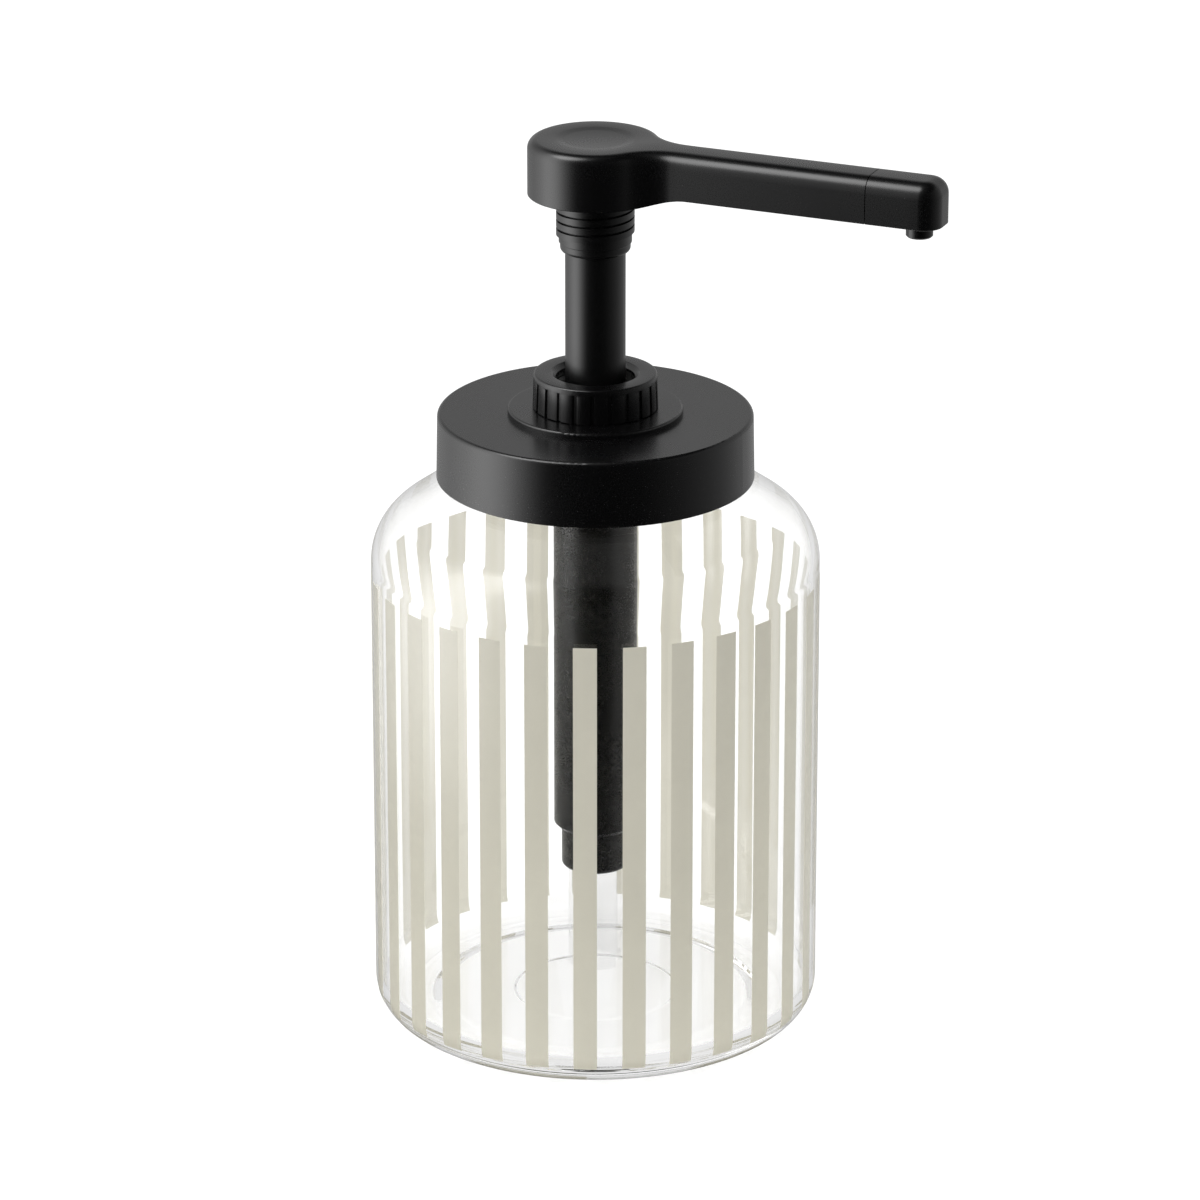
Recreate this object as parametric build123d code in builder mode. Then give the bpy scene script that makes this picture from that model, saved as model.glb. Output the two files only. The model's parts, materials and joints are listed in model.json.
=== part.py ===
from build123d import *
import math
import os

# Sauce dispenser: a glass jar with printed stripes, a twist-off lid and a hand pump with a long spout.
# Millimetres. The origin is the centre of the jar's base, +Z is up and the spout points along +X.
# Profiles that are revolved are drawn on the XZ plane as (radius, height).

os.makedirs("parts", exist_ok=True)


# Driving sizes of the jar

jar_radius = 52.5
jar_wall = 2.0
floor_thickness = 3.0
base_round = 8.4
inner_base_round = 6.0
pushup_height = 1.6
foot_width = 5.0
mould_ring_radius = 19.0
mould_ring_depth = 0.5
body_height = 113.2
shoulder_round = 14.3
shoulder_angle = 55.0
neck_radius = 33.0
neck_wall = 2.8
neck_height = 10.9
neck_round = 2.0
rim_round = 1.1

# Twist-off finish of the neck and the lid: short screw threads on the glass, lugs in the lid

thread_starts = 4
thread_lead = 12.0
thread_sweep = 100.0
thread_depth = 1.6
thread_foot_width = 2.6
thread_crest_width = 1.0
thread_low_height = 2.9
thread_root_depth = 0.3
lug_clearance = 0.1
lug_depth = 0.55
lug_thickness = 1.6
lug_sweep = 16.0
lug_lead_in = 62.0

# Printed stripes round the glass

stripe_count = 29
stripe_share = 0.48
stripe_phase = 5.0
stripe_low = 5.4
stripe_top_margin = 2.8
print_thickness = 0.12
print_gap = 0.01

# Lid and its gasket

lid_wall = 1.8
lid_top_thickness = 2.4
lid_edge_round = 0.9
lid_draft = 0.3
lid_shoulder_gap = 1.08
gasket_thickness = 1.6
gasket_overhang = 0.6
gasket_side_gap = 0.2
rib_thickness = 1.2
rib_depth = 2.5

# Pump barrel, its flange and its clamping nut

barrel_radius = 9.8
barrel_wall = 1.6
barrel_chamfer = 1.2
flange_radius = 20.4
flange_thickness = 1.35
flange_round = 0.5
barrel_neck_radius = 11.8
barrel_neck_height = 2.45
clamp_radius = 11.0
clamp_thread_depth = 0.6
clamp_thread_pitch = 2.5
clamp_length = 13.2
lid_hole_clearance = 0.25
washer_radius = 19.0
washer_thickness = 1.4
nut_flats = 31.0
nut_height = 5.5
nut_flange_radius = 18.0
nut_flange_height = 1.2
vent_radius = 0.8

# Ribbed collar on top of the barrel

collar_radius = 14.6
collar_draft = 0.3
collar_height = 8.25
collar_gap = 0.1
collar_chamfer = 0.6
collar_rib_count = 22
collar_rib_phase = -4.36
collar_groove_width = 0.85
collar_groove_depth = 0.55
collar_groove_margin = 1.3
collar_mouth_radius = 10.3
collar_mouth_depth = 1.0

# Lock thread: the plug under the head screws into the collar when the pump is pressed down

lock_pitch = 2.0
lock_root_radius = 8.5
lock_depth = 0.5
lock_foot_width = 1.6
lock_crest_width = 1.1
lock_end_margin = 0.4
lock_clearance = 0.15
lock_nut_turns = 0.9
thread_turn = 135.0
plug_radius = 8.15
plug_pilot_length = 2.25
plug_length = 13.65
plug_round = 1.2
plug_floor_gap = 1.75
lock_stop_gap = 0.4

# Stem, stem guide and wiper

stem_radius = 7.0
stem_bore_radius = 4.4
stem_running_gap = 0.06
guide_length = 21.0
guide_flange_radius = 11.4
guide_flange_thickness = 1.6
wiper_radius = 8.8
wiper_thickness = 1.2
seat_gap = 0.02
cut_overrun = 1.0
pump_stroke = 32.0

# Piston on the foot of the stem

piston_length = 12.0
piston_gap = 0.06
piston_body_radius = 7.3
piston_lip_length = 2.4
piston_stop_gap = 0.3
spigot_radius = 5.0
spigot_running_gap = 0.05
ring_section = 0.85
ring_squeeze_gap = 0.06
clip_radius = 5.7
clip_thickness = 2.0
clip_play = 0.2

# Return spring

spring_wire = 1.2
spring_mean_radius = 6.4
spring_turns = 16
spring_length = 62.1
spring_end_gap = 0.05

# Valves: a ball on a conical seat at the foot of the barrel and another in the foot of the stem

inlet_ball_radius = 4.2
inlet_throat_radius = 2.8
inlet_chamber_radius = 4.9
outlet_ball_radius = 3.8
outlet_throat_radius = 2.4
ball_seat_gap = 0.03
ball_lift = 2.5
ball_stop_gap = 0.2
keeper_thickness = 1.6
keeper_bar_width = 1.4
keeper_ring_width = 0.9
foot_insert_length = 10.0
foot_radius = 8.0
foot_length = 10.0
foot_round = 1.0
foot_socket_depth = 6.0

# Dip tube

tube_radius = 6.4
tube_wall = 1.2
tube_floor_gap = 6.2
tube_cut_depth = 3.0
tube_cut_width = 4.0

# Head, arm and spout end

head_radius = 15.63
head_height = 13.2
head_round = 2.3
arm_half_width = 6.0
arm_height = 10.7
arm_round = 3.7
arm_blend = 12.0
arm_corner = 4.5
spout_reach = 79.2
root_ramp_start = 11.5
root_ramp_length = 13.0
socket_depth = 4.0
channel_radius = 2.8
channel_drop = 5.6
chamber_radius = 4.4
chamber_overrun = 0.4
head_wall = 2.2
head_core_depth = 7.5
head_core_rib = 6.0
dish_outer_radius = 9.4
dish_inner_radius = 7.2
dish_depth = 0.3
seam_place = 68.1
seam_gap = 0.15
cap_spigot_length = 6.0
cap_spigot_gap = 0.05
cap_bore_radius = 1.8
cap_bore_overrun = 0.7
nozzle_radius = 3.1
nozzle_drop = 3.1
nozzle_bore_radius = 1.7
nozzle_shank_radius = 2.6
nozzle_shank_length = 2.2
nozzle_chamfer = 0.35
nozzle_pocket_gap = 0.05
valve_disc_thickness = 1.0
valve_slit_width = 0.25
stem_seal_section = 0.55
stem_seal_drop = 2.4


# Heights worked out from the driving sizes

shoulder_turn = math.radians(shoulder_angle)
slope_rise = 1.0 / math.tan(shoulder_turn)
shoulder_corner = body_height + shoulder_round * math.tan(shoulder_turn / 2)
neck_corner = shoulder_corner + (jar_radius - neck_radius) * slope_rise
rim_z = neck_corner + neck_height
floor_z = pushup_height + floor_thickness

inner_shoulder_round = shoulder_round - jar_wall
inner_shoulder_corner = body_height + inner_shoulder_round * math.tan(shoulder_turn / 2)
neck_bore_radius = neck_radius - neck_wall
inner_neck_corner = inner_shoulder_corner + (jar_radius - jar_wall - neck_bore_radius) * slope_rise

thread_low_z = neck_corner + thread_low_height
thread_crest_radius = neck_radius + thread_depth
lug_radius = thread_crest_radius + lug_clearance
lid_inner_radius = lug_radius + lug_depth
lid_radius = lid_inner_radius + lid_wall
lid_bottom = neck_corner - (lid_inner_radius - neck_radius) * slope_rise + lid_shoulder_gap
ceiling_z = rim_z + gasket_thickness
lid_top = ceiling_z + lid_top_thickness

flange_top = lid_top + flange_thickness
barrel_top = flange_top + barrel_neck_height
guide_top = barrel_top + guide_flange_thickness
guide_bottom = barrel_top - guide_length
collar_bottom = flange_top + collar_gap
collar_top = collar_bottom + collar_height

piston_top = guide_bottom - piston_stop_gap
piston_bottom = piston_top - piston_length
spring_bottom = piston_bottom - spring_length
foot_top = spring_bottom - keeper_thickness
barrel_bottom = foot_top - foot_insert_length
foot_bottom = barrel_bottom - foot_length
barrel_bore_radius = barrel_radius - barrel_wall
tube_bottom = floor_z + tube_floor_gap
tube_top = foot_bottom + foot_socket_depth

plug_bottom = guide_top + plug_floor_gap + pump_stroke
lock_bottom = plug_bottom + plug_pilot_length
lock_nut_top = lock_bottom - pump_stroke - lock_stop_gap
head_bottom = plug_bottom + plug_length
head_top = head_bottom + head_height
arm_bottom = head_top - arm_height
channel_z = head_top - channel_drop
chamber_top = channel_z + channel_radius + chamber_overrun
stem_top = head_bottom + socket_depth
stem_shoulder = piston_top + clip_play
spigot_bottom = piston_bottom - clip_play - clip_thickness


# Glass jar, one revolved wall with screw threads on its neck

foot_outer = jar_radius - base_round
foot_inner = foot_outer - foot_width

with BuildPart() as glass_jar:
    with BuildSketch(Plane.XZ) as jar_section:
        with BuildLine() as jar_outline:
            FilletPolyline(
                (foot_inner, 0),
                (jar_radius, 0),
                (jar_radius, shoulder_corner),
                (neck_radius, neck_corner),
                (neck_radius, rim_z),
                (neck_bore_radius, rim_z),
                (neck_bore_radius, inner_neck_corner),
                (jar_radius - jar_wall, inner_shoulder_corner),
                (jar_radius - jar_wall, floor_z),
                (0, floor_z),
                radius=[base_round, shoulder_round, neck_round, rim_round, rim_round, neck_round,
                        inner_shoulder_round, inner_base_round],
            )
            Polyline(
                (0, floor_z),
                (0, pushup_height + mould_ring_depth),
                (mould_ring_radius, pushup_height + mould_ring_depth),
                (mould_ring_radius + mould_ring_depth, pushup_height),
                (foot_inner - pushup_height, pushup_height),
                (foot_inner, 0),
            )
        make_face()
    revolve(axis=Axis.Z)
    with BuildLine() as thread_path:
        Helix(
            pitch=thread_lead,
            height=thread_lead * thread_sweep / 360,
            radius=neck_radius,
            center=(0, 0, thread_low_z),
        )
    thread_plane = Plane(origin=thread_path.line @ 0, x_dir=(1, 0, 0), z_dir=thread_path.line % 0)
    with BuildSketch(thread_plane) as thread_section:
        with BuildLine():
            Polyline(
                (-thread_root_depth, -thread_foot_width / 2),
                (thread_depth, -thread_crest_width / 2),
                (thread_depth, thread_crest_width / 2),
                (-thread_root_depth, thread_foot_width / 2),
                close=True,
            )
        make_face()
    glass_thread = sweep(thread_section.sketch, thread_path.line, is_frenet=True, mode=Mode.PRIVATE)
    with PolarLocations(0, thread_starts):
        add(glass_thread)

glass_jar.part.label = "glass_jar"
export_step(glass_jar.part, "parts/glass_jar.step")


# Printed stripes, a thin skin on the glass that starts on the rounding of the base

stripe_pitch = 360 / stripe_count
stripe_width_angle = stripe_pitch * stripe_share
print_inner = base_round + print_gap
print_outer = print_inner + print_thickness
print_start = math.degrees(math.asin((base_round - stripe_low) / base_round))
stripe_top = body_height - stripe_top_margin

with BuildPart() as printed_stripes:
    with BuildSketch(Plane.XZ) as stripe_section:
        with BuildLine():
            inner_arc = CenterArc((foot_outer, base_round), print_inner, -print_start, print_start)
            outer_arc = CenterArc((foot_outer, base_round), print_outer, -print_start, print_start)
            Line(inner_arc @ 0, outer_arc @ 0)
            Line(inner_arc @ 1, (foot_outer + print_inner, stripe_top))
            Line(outer_arc @ 1, (foot_outer + print_outer, stripe_top))
            Line((foot_outer + print_inner, stripe_top), (foot_outer + print_outer, stripe_top))
        make_face()
    one_stripe = revolve(
        stripe_section.sketch, axis=Axis.Z, revolution_arc=stripe_width_angle, mode=Mode.PRIVATE
    )
    with PolarLocations(0, stripe_count, start_angle=stripe_phase - stripe_width_angle / 2):
        add(one_stripe)

printed_stripes.part.label = "printed_stripes"
export_step(printed_stripes.part, "parts/printed_stripes.step")


# Lid gasket, a flat ring between the rim of the glass and the lid

rib_outer = neck_bore_radius - gasket_overhang - gasket_side_gap

with BuildPart() as lid_gasket:
    with BuildSketch(Plane.XY.offset(rim_z)):
        Circle(neck_radius + gasket_overhang)
        Circle(neck_bore_radius - gasket_overhang, mode=Mode.SUBTRACT)
    extrude(amount=gasket_thickness)

lid_gasket.part.label = "lid_gasket"
export_step(lid_gasket.part, "parts/lid_gasket.step")


# Lid: a cap with a skirt, a rib that centres the gasket, a hole for the barrel and four lugs

lug_top = thread_low_z + thread_lead * lug_lead_in / 360 - thread_foot_width / 2 - lug_clearance

with BuildPart() as lid_shell:
    with BuildSketch(Plane.XZ):
        with BuildLine():
            Polyline(
                (clamp_radius + clamp_thread_depth + lid_hole_clearance, lid_top),
                (lid_radius - lid_draft, lid_top),
                (lid_radius, lid_bottom),
                (lid_inner_radius, lid_bottom),
                (lid_inner_radius, ceiling_z),
                (rib_outer, ceiling_z),
                (rib_outer, ceiling_z - rib_depth),
                (rib_outer - rib_thickness, ceiling_z - rib_depth),
                (rib_outer - rib_thickness, ceiling_z),
                (clamp_radius + clamp_thread_depth + lid_hole_clearance, ceiling_z),
                close=True,
            )
        make_face()
    revolve(axis=Axis.Z)
    fillet(lid_shell.edges().filter_by(GeomType.CIRCLE).group_by(Axis.Z)[-1].sort_by(SortBy.RADIUS)[-1],
           lid_edge_round)
    with BuildSketch(Plane.XZ) as lug_section:
        with BuildLine():
            Polyline(
                (lug_radius, lug_top - lug_thickness),
                (lid_inner_radius + seat_gap, lug_top - lug_thickness),
                (lid_inner_radius + seat_gap, lug_top),
                (lug_radius, lug_top),
                close=True,
            )
        make_face()
    one_lug = revolve(lug_section.sketch, axis=Axis.Z, revolution_arc=lug_sweep, mode=Mode.PRIVATE)
    with PolarLocations(0, thread_starts, start_angle=lug_lead_in):
        add(one_lug)

lid_shell.part.label = "lid_shell"
export_step(lid_shell.part, "parts/lid_shell.step")


# Pump barrel: a long cylinder that hangs through the lid from its flange

clamp_bottom = lid_top - clamp_length

with BuildPart() as pump_barrel:
    with BuildSketch(Plane.XZ):
        with BuildLine():
            Polyline(
                (barrel_bore_radius, barrel_bottom),
                (barrel_radius - barrel_chamfer, barrel_bottom),
                (barrel_radius, barrel_bottom + barrel_chamfer),
                (barrel_radius, clamp_bottom),
                (clamp_radius, clamp_bottom + clamp_radius - barrel_radius),
                (clamp_radius, lid_top),
                (flange_radius, lid_top),
                (flange_radius, flange_top),
                (barrel_neck_radius, flange_top),
                (barrel_neck_radius, barrel_top),
                (barrel_bore_radius, barrel_top),
                close=True,
            )
        make_face()
    revolve(axis=Axis.Z)
    fillet(pump_barrel.edges().filter_by(GeomType.CIRCLE).filter_by(
        lambda edge: abs(edge.radius - flange_radius) < 0.001 and abs(edge.center().Z - flange_top) < 0.001
    ), flange_round)
    with BuildLine() as clamp_path:
        Helix(
            pitch=clamp_thread_pitch,
            height=clamp_length - 2 * clamp_thread_pitch,
            radius=clamp_radius,
            center=(0, 0, clamp_bottom + clamp_thread_pitch),
        )
    clamp_plane = Plane(origin=clamp_path.line @ 0, x_dir=(1, 0, 0), z_dir=clamp_path.line % 0)
    with BuildSketch(clamp_plane) as clamp_tooth:
        with BuildLine():
            Polyline(
                (-thread_root_depth, -clamp_thread_pitch / 3),
                (clamp_thread_depth, -clamp_thread_pitch / 8),
                (clamp_thread_depth, clamp_thread_pitch / 8),
                (-thread_root_depth, clamp_thread_pitch / 3),
                close=True,
            )
        make_face()
    clamp_thread = sweep(clamp_tooth.sketch, clamp_path.line, is_frenet=True, mode=Mode.PRIVATE)
    with PolarLocations(0, 1, start_angle=thread_turn):
        add(clamp_thread)
    with BuildSketch(Plane.YZ.offset(-barrel_radius - cut_overrun)):
        with Locations((0, piston_top - piston_lip_length)):
            Circle(vent_radius)
    extrude(amount=barrel_wall + 2 * cut_overrun, mode=Mode.SUBTRACT)

pump_barrel.part.label = "pump_barrel"
export_step(pump_barrel.part, "parts/pump_barrel.step")


# Washer and nut that clamp the barrel under the lid

nut_top = ceiling_z - washer_thickness
nut_bore_radius = clamp_radius + clamp_thread_depth + lug_clearance

with BuildPart() as barrel_washer:
    with BuildSketch(Plane.XY.offset(nut_top)):
        Circle(washer_radius)
        Circle(nut_bore_radius, mode=Mode.SUBTRACT)
    extrude(amount=washer_thickness)

barrel_washer.part.label = "barrel_washer"
export_step(barrel_washer.part, "parts/barrel_washer.step")

with BuildPart() as barrel_nut:
    with BuildSketch(Plane.XY.offset(nut_top - nut_height)):
        RegularPolygon(nut_flats / 2, 6, major_radius=False)
        Circle(nut_bore_radius, mode=Mode.SUBTRACT)
    extrude(amount=nut_height)
    with BuildSketch(Plane.XY.offset(nut_top - nut_flange_height)):
        Circle(nut_flange_radius)
        Circle(nut_bore_radius, mode=Mode.SUBTRACT)
    extrude(amount=nut_flange_height)

barrel_nut.part.label = "barrel_nut"
export_step(barrel_nut.part, "parts/barrel_nut.step")


# Stem guide in the top of the barrel, and the wiper that keeps the stem clean

guide_bore_radius = stem_radius + stem_running_gap
wiper_floor = guide_top - wiper_thickness

with BuildPart() as stem_guide:
    with BuildSketch(Plane.XZ):
        with BuildLine():
            Polyline(
                (guide_bore_radius, guide_bottom),
                (barrel_bore_radius - seat_gap, guide_bottom),
                (barrel_bore_radius - seat_gap, barrel_top),
                (guide_flange_radius, barrel_top),
                (guide_flange_radius, guide_top),
                (wiper_radius + seat_gap, guide_top),
                (wiper_radius + seat_gap, wiper_floor),
                (guide_bore_radius, wiper_floor),
                close=True,
            )
        make_face()
    revolve(axis=Axis.Z)

stem_guide.part.label = "stem_guide"
export_step(stem_guide.part, "parts/stem_guide.step")

with BuildPart() as stem_wiper:
    with BuildSketch(Plane.XY.offset(wiper_floor)):
        Circle(wiper_radius)
        Circle(guide_bore_radius, mode=Mode.SUBTRACT)
    extrude(amount=wiper_thickness)

stem_wiper.part.label = "stem_wiper"
export_step(stem_wiper.part, "parts/stem_wiper.step")


# Ribbed collar: holds the guide down and takes the lock thread of the plug

collar_cavity_radius = barrel_neck_radius + lid_hole_clearance
collar_floor = guide_top + seat_gap
lock_nut_root = lock_root_radius + lock_depth + lock_clearance
lock_nut_bottom = lock_nut_top - lock_pitch * lock_nut_turns - lock_foot_width

with BuildPart() as ribbed_collar:
    with BuildSketch(Plane.XZ):
        with BuildLine():
            Polyline(
                (collar_cavity_radius, collar_bottom),
                (collar_radius, collar_bottom),
                (collar_radius - collar_draft, collar_top - collar_chamfer),
                (collar_radius - collar_draft - collar_chamfer, collar_top),
                (collar_mouth_radius, collar_top),
                (lock_nut_root, collar_top - collar_mouth_depth),
                (lock_nut_root, collar_floor),
                (collar_cavity_radius, collar_floor),
                close=True,
            )
        make_face()
    revolve(axis=Axis.Z)
    with BuildSketch(Plane.XY.offset(collar_bottom)) as collar_grooves:
        with PolarLocations(collar_radius, collar_rib_count, start_angle=collar_rib_phase):
            Rectangle(2 * (collar_draft + collar_groove_depth), collar_groove_width)
    extrude(amount=collar_height - collar_groove_margin, mode=Mode.SUBTRACT)
    with BuildLine() as nut_path:
        Helix(
            pitch=lock_pitch,
            height=lock_pitch * lock_nut_turns,
            radius=lock_nut_root,
            center=(0, 0, lock_nut_bottom + lock_foot_width / 2),
        )
    nut_plane = Plane(origin=nut_path.line @ 0, x_dir=(1, 0, 0), z_dir=nut_path.line % 0)
    with BuildSketch(nut_plane) as nut_tooth:
        with BuildLine():
            Polyline(
                (thread_root_depth, -lock_foot_width / 3),
                (-lock_depth, -lock_foot_width / 6),
                (-lock_depth, lock_foot_width / 6),
                (thread_root_depth, lock_foot_width / 3),
                close=True,
            )
        make_face()
    nut_thread = sweep(nut_tooth.sketch, nut_path.line, is_frenet=True, mode=Mode.PRIVATE)
    with PolarLocations(0, 1, start_angle=thread_turn):
        add(nut_thread)

ribbed_collar.part.label = "ribbed_collar"
export_step(ribbed_collar.part, "parts/ribbed_collar.step")


# Valve foot: plugs the barrel, seats the inlet ball and holds the dip tube

inlet_ball_z = foot_top - ball_stop_gap - ball_lift - inlet_ball_radius
inlet_apex = inlet_ball_z - ball_seat_gap - inlet_ball_radius * math.sqrt(2)
tube_bore_radius = tube_radius - tube_wall

with BuildPart() as valve_foot:
    with BuildSketch(Plane.XZ):
        with BuildLine():
            Polyline(
                (tube_radius + seat_gap, foot_bottom),
                (foot_radius, foot_bottom),
                (foot_radius, barrel_bottom),
                (barrel_bore_radius - seat_gap, barrel_bottom),
                (barrel_bore_radius - seat_gap, foot_top),
                (inlet_chamber_radius, foot_top),
                (inlet_chamber_radius, inlet_apex + inlet_chamber_radius),
                (inlet_throat_radius, inlet_apex + inlet_throat_radius),
                (inlet_throat_radius, tube_top + tube_wall),
                (tube_bore_radius, tube_top),
                (tube_radius + seat_gap, tube_top),
                close=True,
            )
        make_face()
    revolve(axis=Axis.Z)
    fillet(valve_foot.edges().filter_by(GeomType.CIRCLE).group_by(Axis.Z)[0].sort_by(SortBy.RADIUS)[-1],
           foot_round)

valve_foot.part.label = "valve_foot"
export_step(valve_foot.part, "parts/valve_foot.step")

with BuildPart() as inlet_ball:
    with Locations((0, 0, inlet_ball_z)):
        Sphere(inlet_ball_radius)

inlet_ball.part.label = "inlet_ball"
export_step(inlet_ball.part, "parts/inlet_ball.step")


# Inlet keeper: a ring with a cross bar over the ball, which the spring stands on

with BuildPart() as inlet_keeper:
    with BuildSketch(Plane.XY.offset(foot_top)):
        Circle(barrel_bore_radius - seat_gap)
        Circle(inlet_chamber_radius, mode=Mode.SUBTRACT)
        Rectangle(2 * inlet_chamber_radius + keeper_ring_width, keeper_bar_width)
        Rectangle(keeper_bar_width, 2 * inlet_chamber_radius + keeper_ring_width)
    extrude(amount=keeper_thickness)

inlet_keeper.part.label = "inlet_keeper"
export_step(inlet_keeper.part, "parts/inlet_keeper.step")


# Dip tube, notched at its foot so that it can't suck itself to the glass

with BuildPart() as dip_tube:
    with BuildSketch(Plane.XY.offset(tube_bottom)):
        Circle(tube_radius)
        Circle(tube_bore_radius, mode=Mode.SUBTRACT)
    extrude(amount=tube_top - tube_bottom)
    with BuildSketch(Plane.YZ.offset(-tube_radius - cut_overrun)):
        with Locations((0, tube_bottom)):
            Rectangle(tube_cut_width, 2 * tube_cut_depth)
    extrude(amount=2 * (tube_radius + cut_overrun), mode=Mode.SUBTRACT)

dip_tube.part.label = "dip_tube"
export_step(dip_tube.part, "parts/dip_tube.step")


# Return spring: one unbroken round wire, wound as a helix between the keeper and the piston

spring_radius = spring_wire / 2
coil_rise = spring_length - spring_wire - 2 * spring_end_gap
coil_pitch = coil_rise / spring_turns

with BuildPart() as return_spring:
    with BuildLine() as spring_path:
        Helix(
            pitch=coil_pitch,
            height=coil_rise,
            radius=spring_mean_radius,
            center=(0, 0, spring_bottom + spring_radius + spring_end_gap),
        )
    with BuildSketch(Plane(origin=spring_path.line @ 0, x_dir=(1, 0, 0), z_dir=spring_path.line % 0)):
        Circle(spring_radius)
    sweep(path=spring_path.line, is_frenet=True)

return_spring.part.label = "return_spring"
export_step(return_spring.part, "parts/return_spring.step")
print("spring: gap between turns at rest", round(coil_pitch - spring_wire, 2), "mm,",
      "solid height", round(spring_wire * (spring_turns + 1), 1), "mm,",
      "length at full stroke", round(spring_length - pump_stroke, 1), "mm")


# Piston with two lips, its sealing ring and the clip that keeps it on the stem

piston_radius = barrel_bore_radius - piston_gap
piston_middle = (piston_top + piston_bottom) / 2
ring_centre = piston_radius - ring_section
ring_groove_radius = ring_centre - ring_section - ring_squeeze_gap

with BuildPart() as piston:
    with BuildSketch(Plane.XZ):
        with BuildLine():
            Polyline(
                (spigot_radius + spigot_running_gap, piston_bottom),
                (piston_body_radius, piston_bottom),
                (piston_radius, piston_bottom + piston_lip_length / 2),
                (piston_radius, piston_bottom + piston_lip_length),
                (piston_body_radius, piston_bottom + piston_lip_length),
                (piston_body_radius, piston_middle - ring_section - ring_squeeze_gap),
                (ring_groove_radius, piston_middle - ring_section - ring_squeeze_gap),
                (ring_groove_radius, piston_middle + ring_section + ring_squeeze_gap),
                (piston_body_radius, piston_middle + ring_section + ring_squeeze_gap),
                (piston_body_radius, piston_top - piston_lip_length),
                (piston_radius, piston_top - piston_lip_length),
                (piston_radius, piston_top - piston_lip_length / 2),
                (piston_body_radius, piston_top),
                (spigot_radius + spigot_running_gap, piston_top),
                close=True,
            )
        make_face()
    revolve(axis=Axis.Z)

piston.part.label = "piston"
export_step(piston.part, "parts/piston.step")

with BuildPart() as piston_ring:
    with BuildSketch(Plane.XZ):
        with Locations((ring_centre, piston_middle)):
            Circle(ring_section)
    revolve(axis=Axis.Z)

piston_ring.part.label = "piston_ring"
export_step(piston_ring.part, "parts/piston_ring.step")

with BuildPart() as piston_clip:
    with BuildSketch(Plane.XY.offset(spigot_bottom)):
        Circle(clip_radius)
        Circle(spigot_radius, mode=Mode.SUBTRACT)
    extrude(amount=clip_thickness)

piston_clip.part.label = "piston_clip"
export_step(piston_clip.part, "parts/piston_clip.step")


# Hollow stem: its foot carries the piston and seats the outlet ball, its top seals in the head

outlet_apex = stem_shoulder
outlet_ball_z = outlet_apex + outlet_ball_radius * math.sqrt(2) + ball_seat_gap
seal_groove_radius = stem_radius - 2 * stem_seal_section
seal_z = stem_top - stem_seal_drop

with BuildPart() as plunger_stem:
    with BuildSketch(Plane.XZ):
        with BuildLine():
            Polyline(
                (outlet_throat_radius, spigot_bottom),
                (spigot_radius, spigot_bottom),
                (spigot_radius, stem_shoulder),
                (stem_radius, stem_shoulder),
                (stem_radius, seal_z - stem_seal_section),
                (seal_groove_radius, seal_z - stem_seal_section),
                (seal_groove_radius, seal_z + stem_seal_section),
                (stem_radius, seal_z + stem_seal_section),
                (stem_radius, stem_top),
                (stem_bore_radius, stem_top),
                (stem_bore_radius, outlet_apex + stem_bore_radius),
                (outlet_throat_radius, outlet_apex + outlet_throat_radius),
                close=True,
            )
        make_face()
    revolve(axis=Axis.Z)

plunger_stem.part.label = "plunger_stem"
export_step(plunger_stem.part, "parts/plunger_stem.step")

with BuildPart() as stem_seal:
    with BuildSketch(Plane.XZ):
        with Locations((stem_radius - stem_seal_section, seal_z)):
            Circle(stem_seal_section - seat_gap)
    revolve(axis=Axis.Z)

stem_seal.part.label = "stem_seal"
export_step(stem_seal.part, "parts/stem_seal.step")

with BuildPart() as outlet_ball:
    with Locations((0, 0, outlet_ball_z)):
        Sphere(outlet_ball_radius)

outlet_ball.part.label = "outlet_ball"
export_step(outlet_ball.part, "parts/outlet_ball.step")


# Outlet keeper: a short ring with one bar, pressed into the stem above the ball

outlet_keeper_bottom = outlet_ball_z + outlet_ball_radius + ball_lift + ball_stop_gap

with BuildPart() as outlet_keeper:
    with BuildSketch(Plane.XY.offset(outlet_keeper_bottom)):
        Circle(stem_bore_radius - seat_gap)
        Circle(stem_bore_radius - keeper_ring_width, mode=Mode.SUBTRACT)
        Rectangle(2 * stem_bore_radius - keeper_ring_width, keeper_bar_width)
    extrude(amount=keeper_thickness)

outlet_keeper.part.label = "outlet_keeper"
export_step(outlet_keeper.part, "parts/outlet_keeper.step")


# Outline of the head and its arm, seen from above: a round head that flows into a slim arm

blend_reach = math.sqrt((head_radius + arm_blend) ** 2 - (arm_half_width + arm_blend) ** 2)
blend_side = arm_half_width + arm_blend
tangent_share = head_radius / (head_radius + arm_blend)
tangent_x = blend_reach * tangent_share
tangent_y = blend_side * tangent_share
blend_turn = math.radians(90) - math.atan2(blend_side, blend_reach)
blend_mid_x = blend_reach - arm_blend * math.sin(blend_turn / 2)
blend_mid_y = blend_side - arm_blend * math.cos(blend_turn / 2)
arm_end = spout_reach + arm_half_width
arm_flat = arm_half_width - arm_corner

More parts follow.
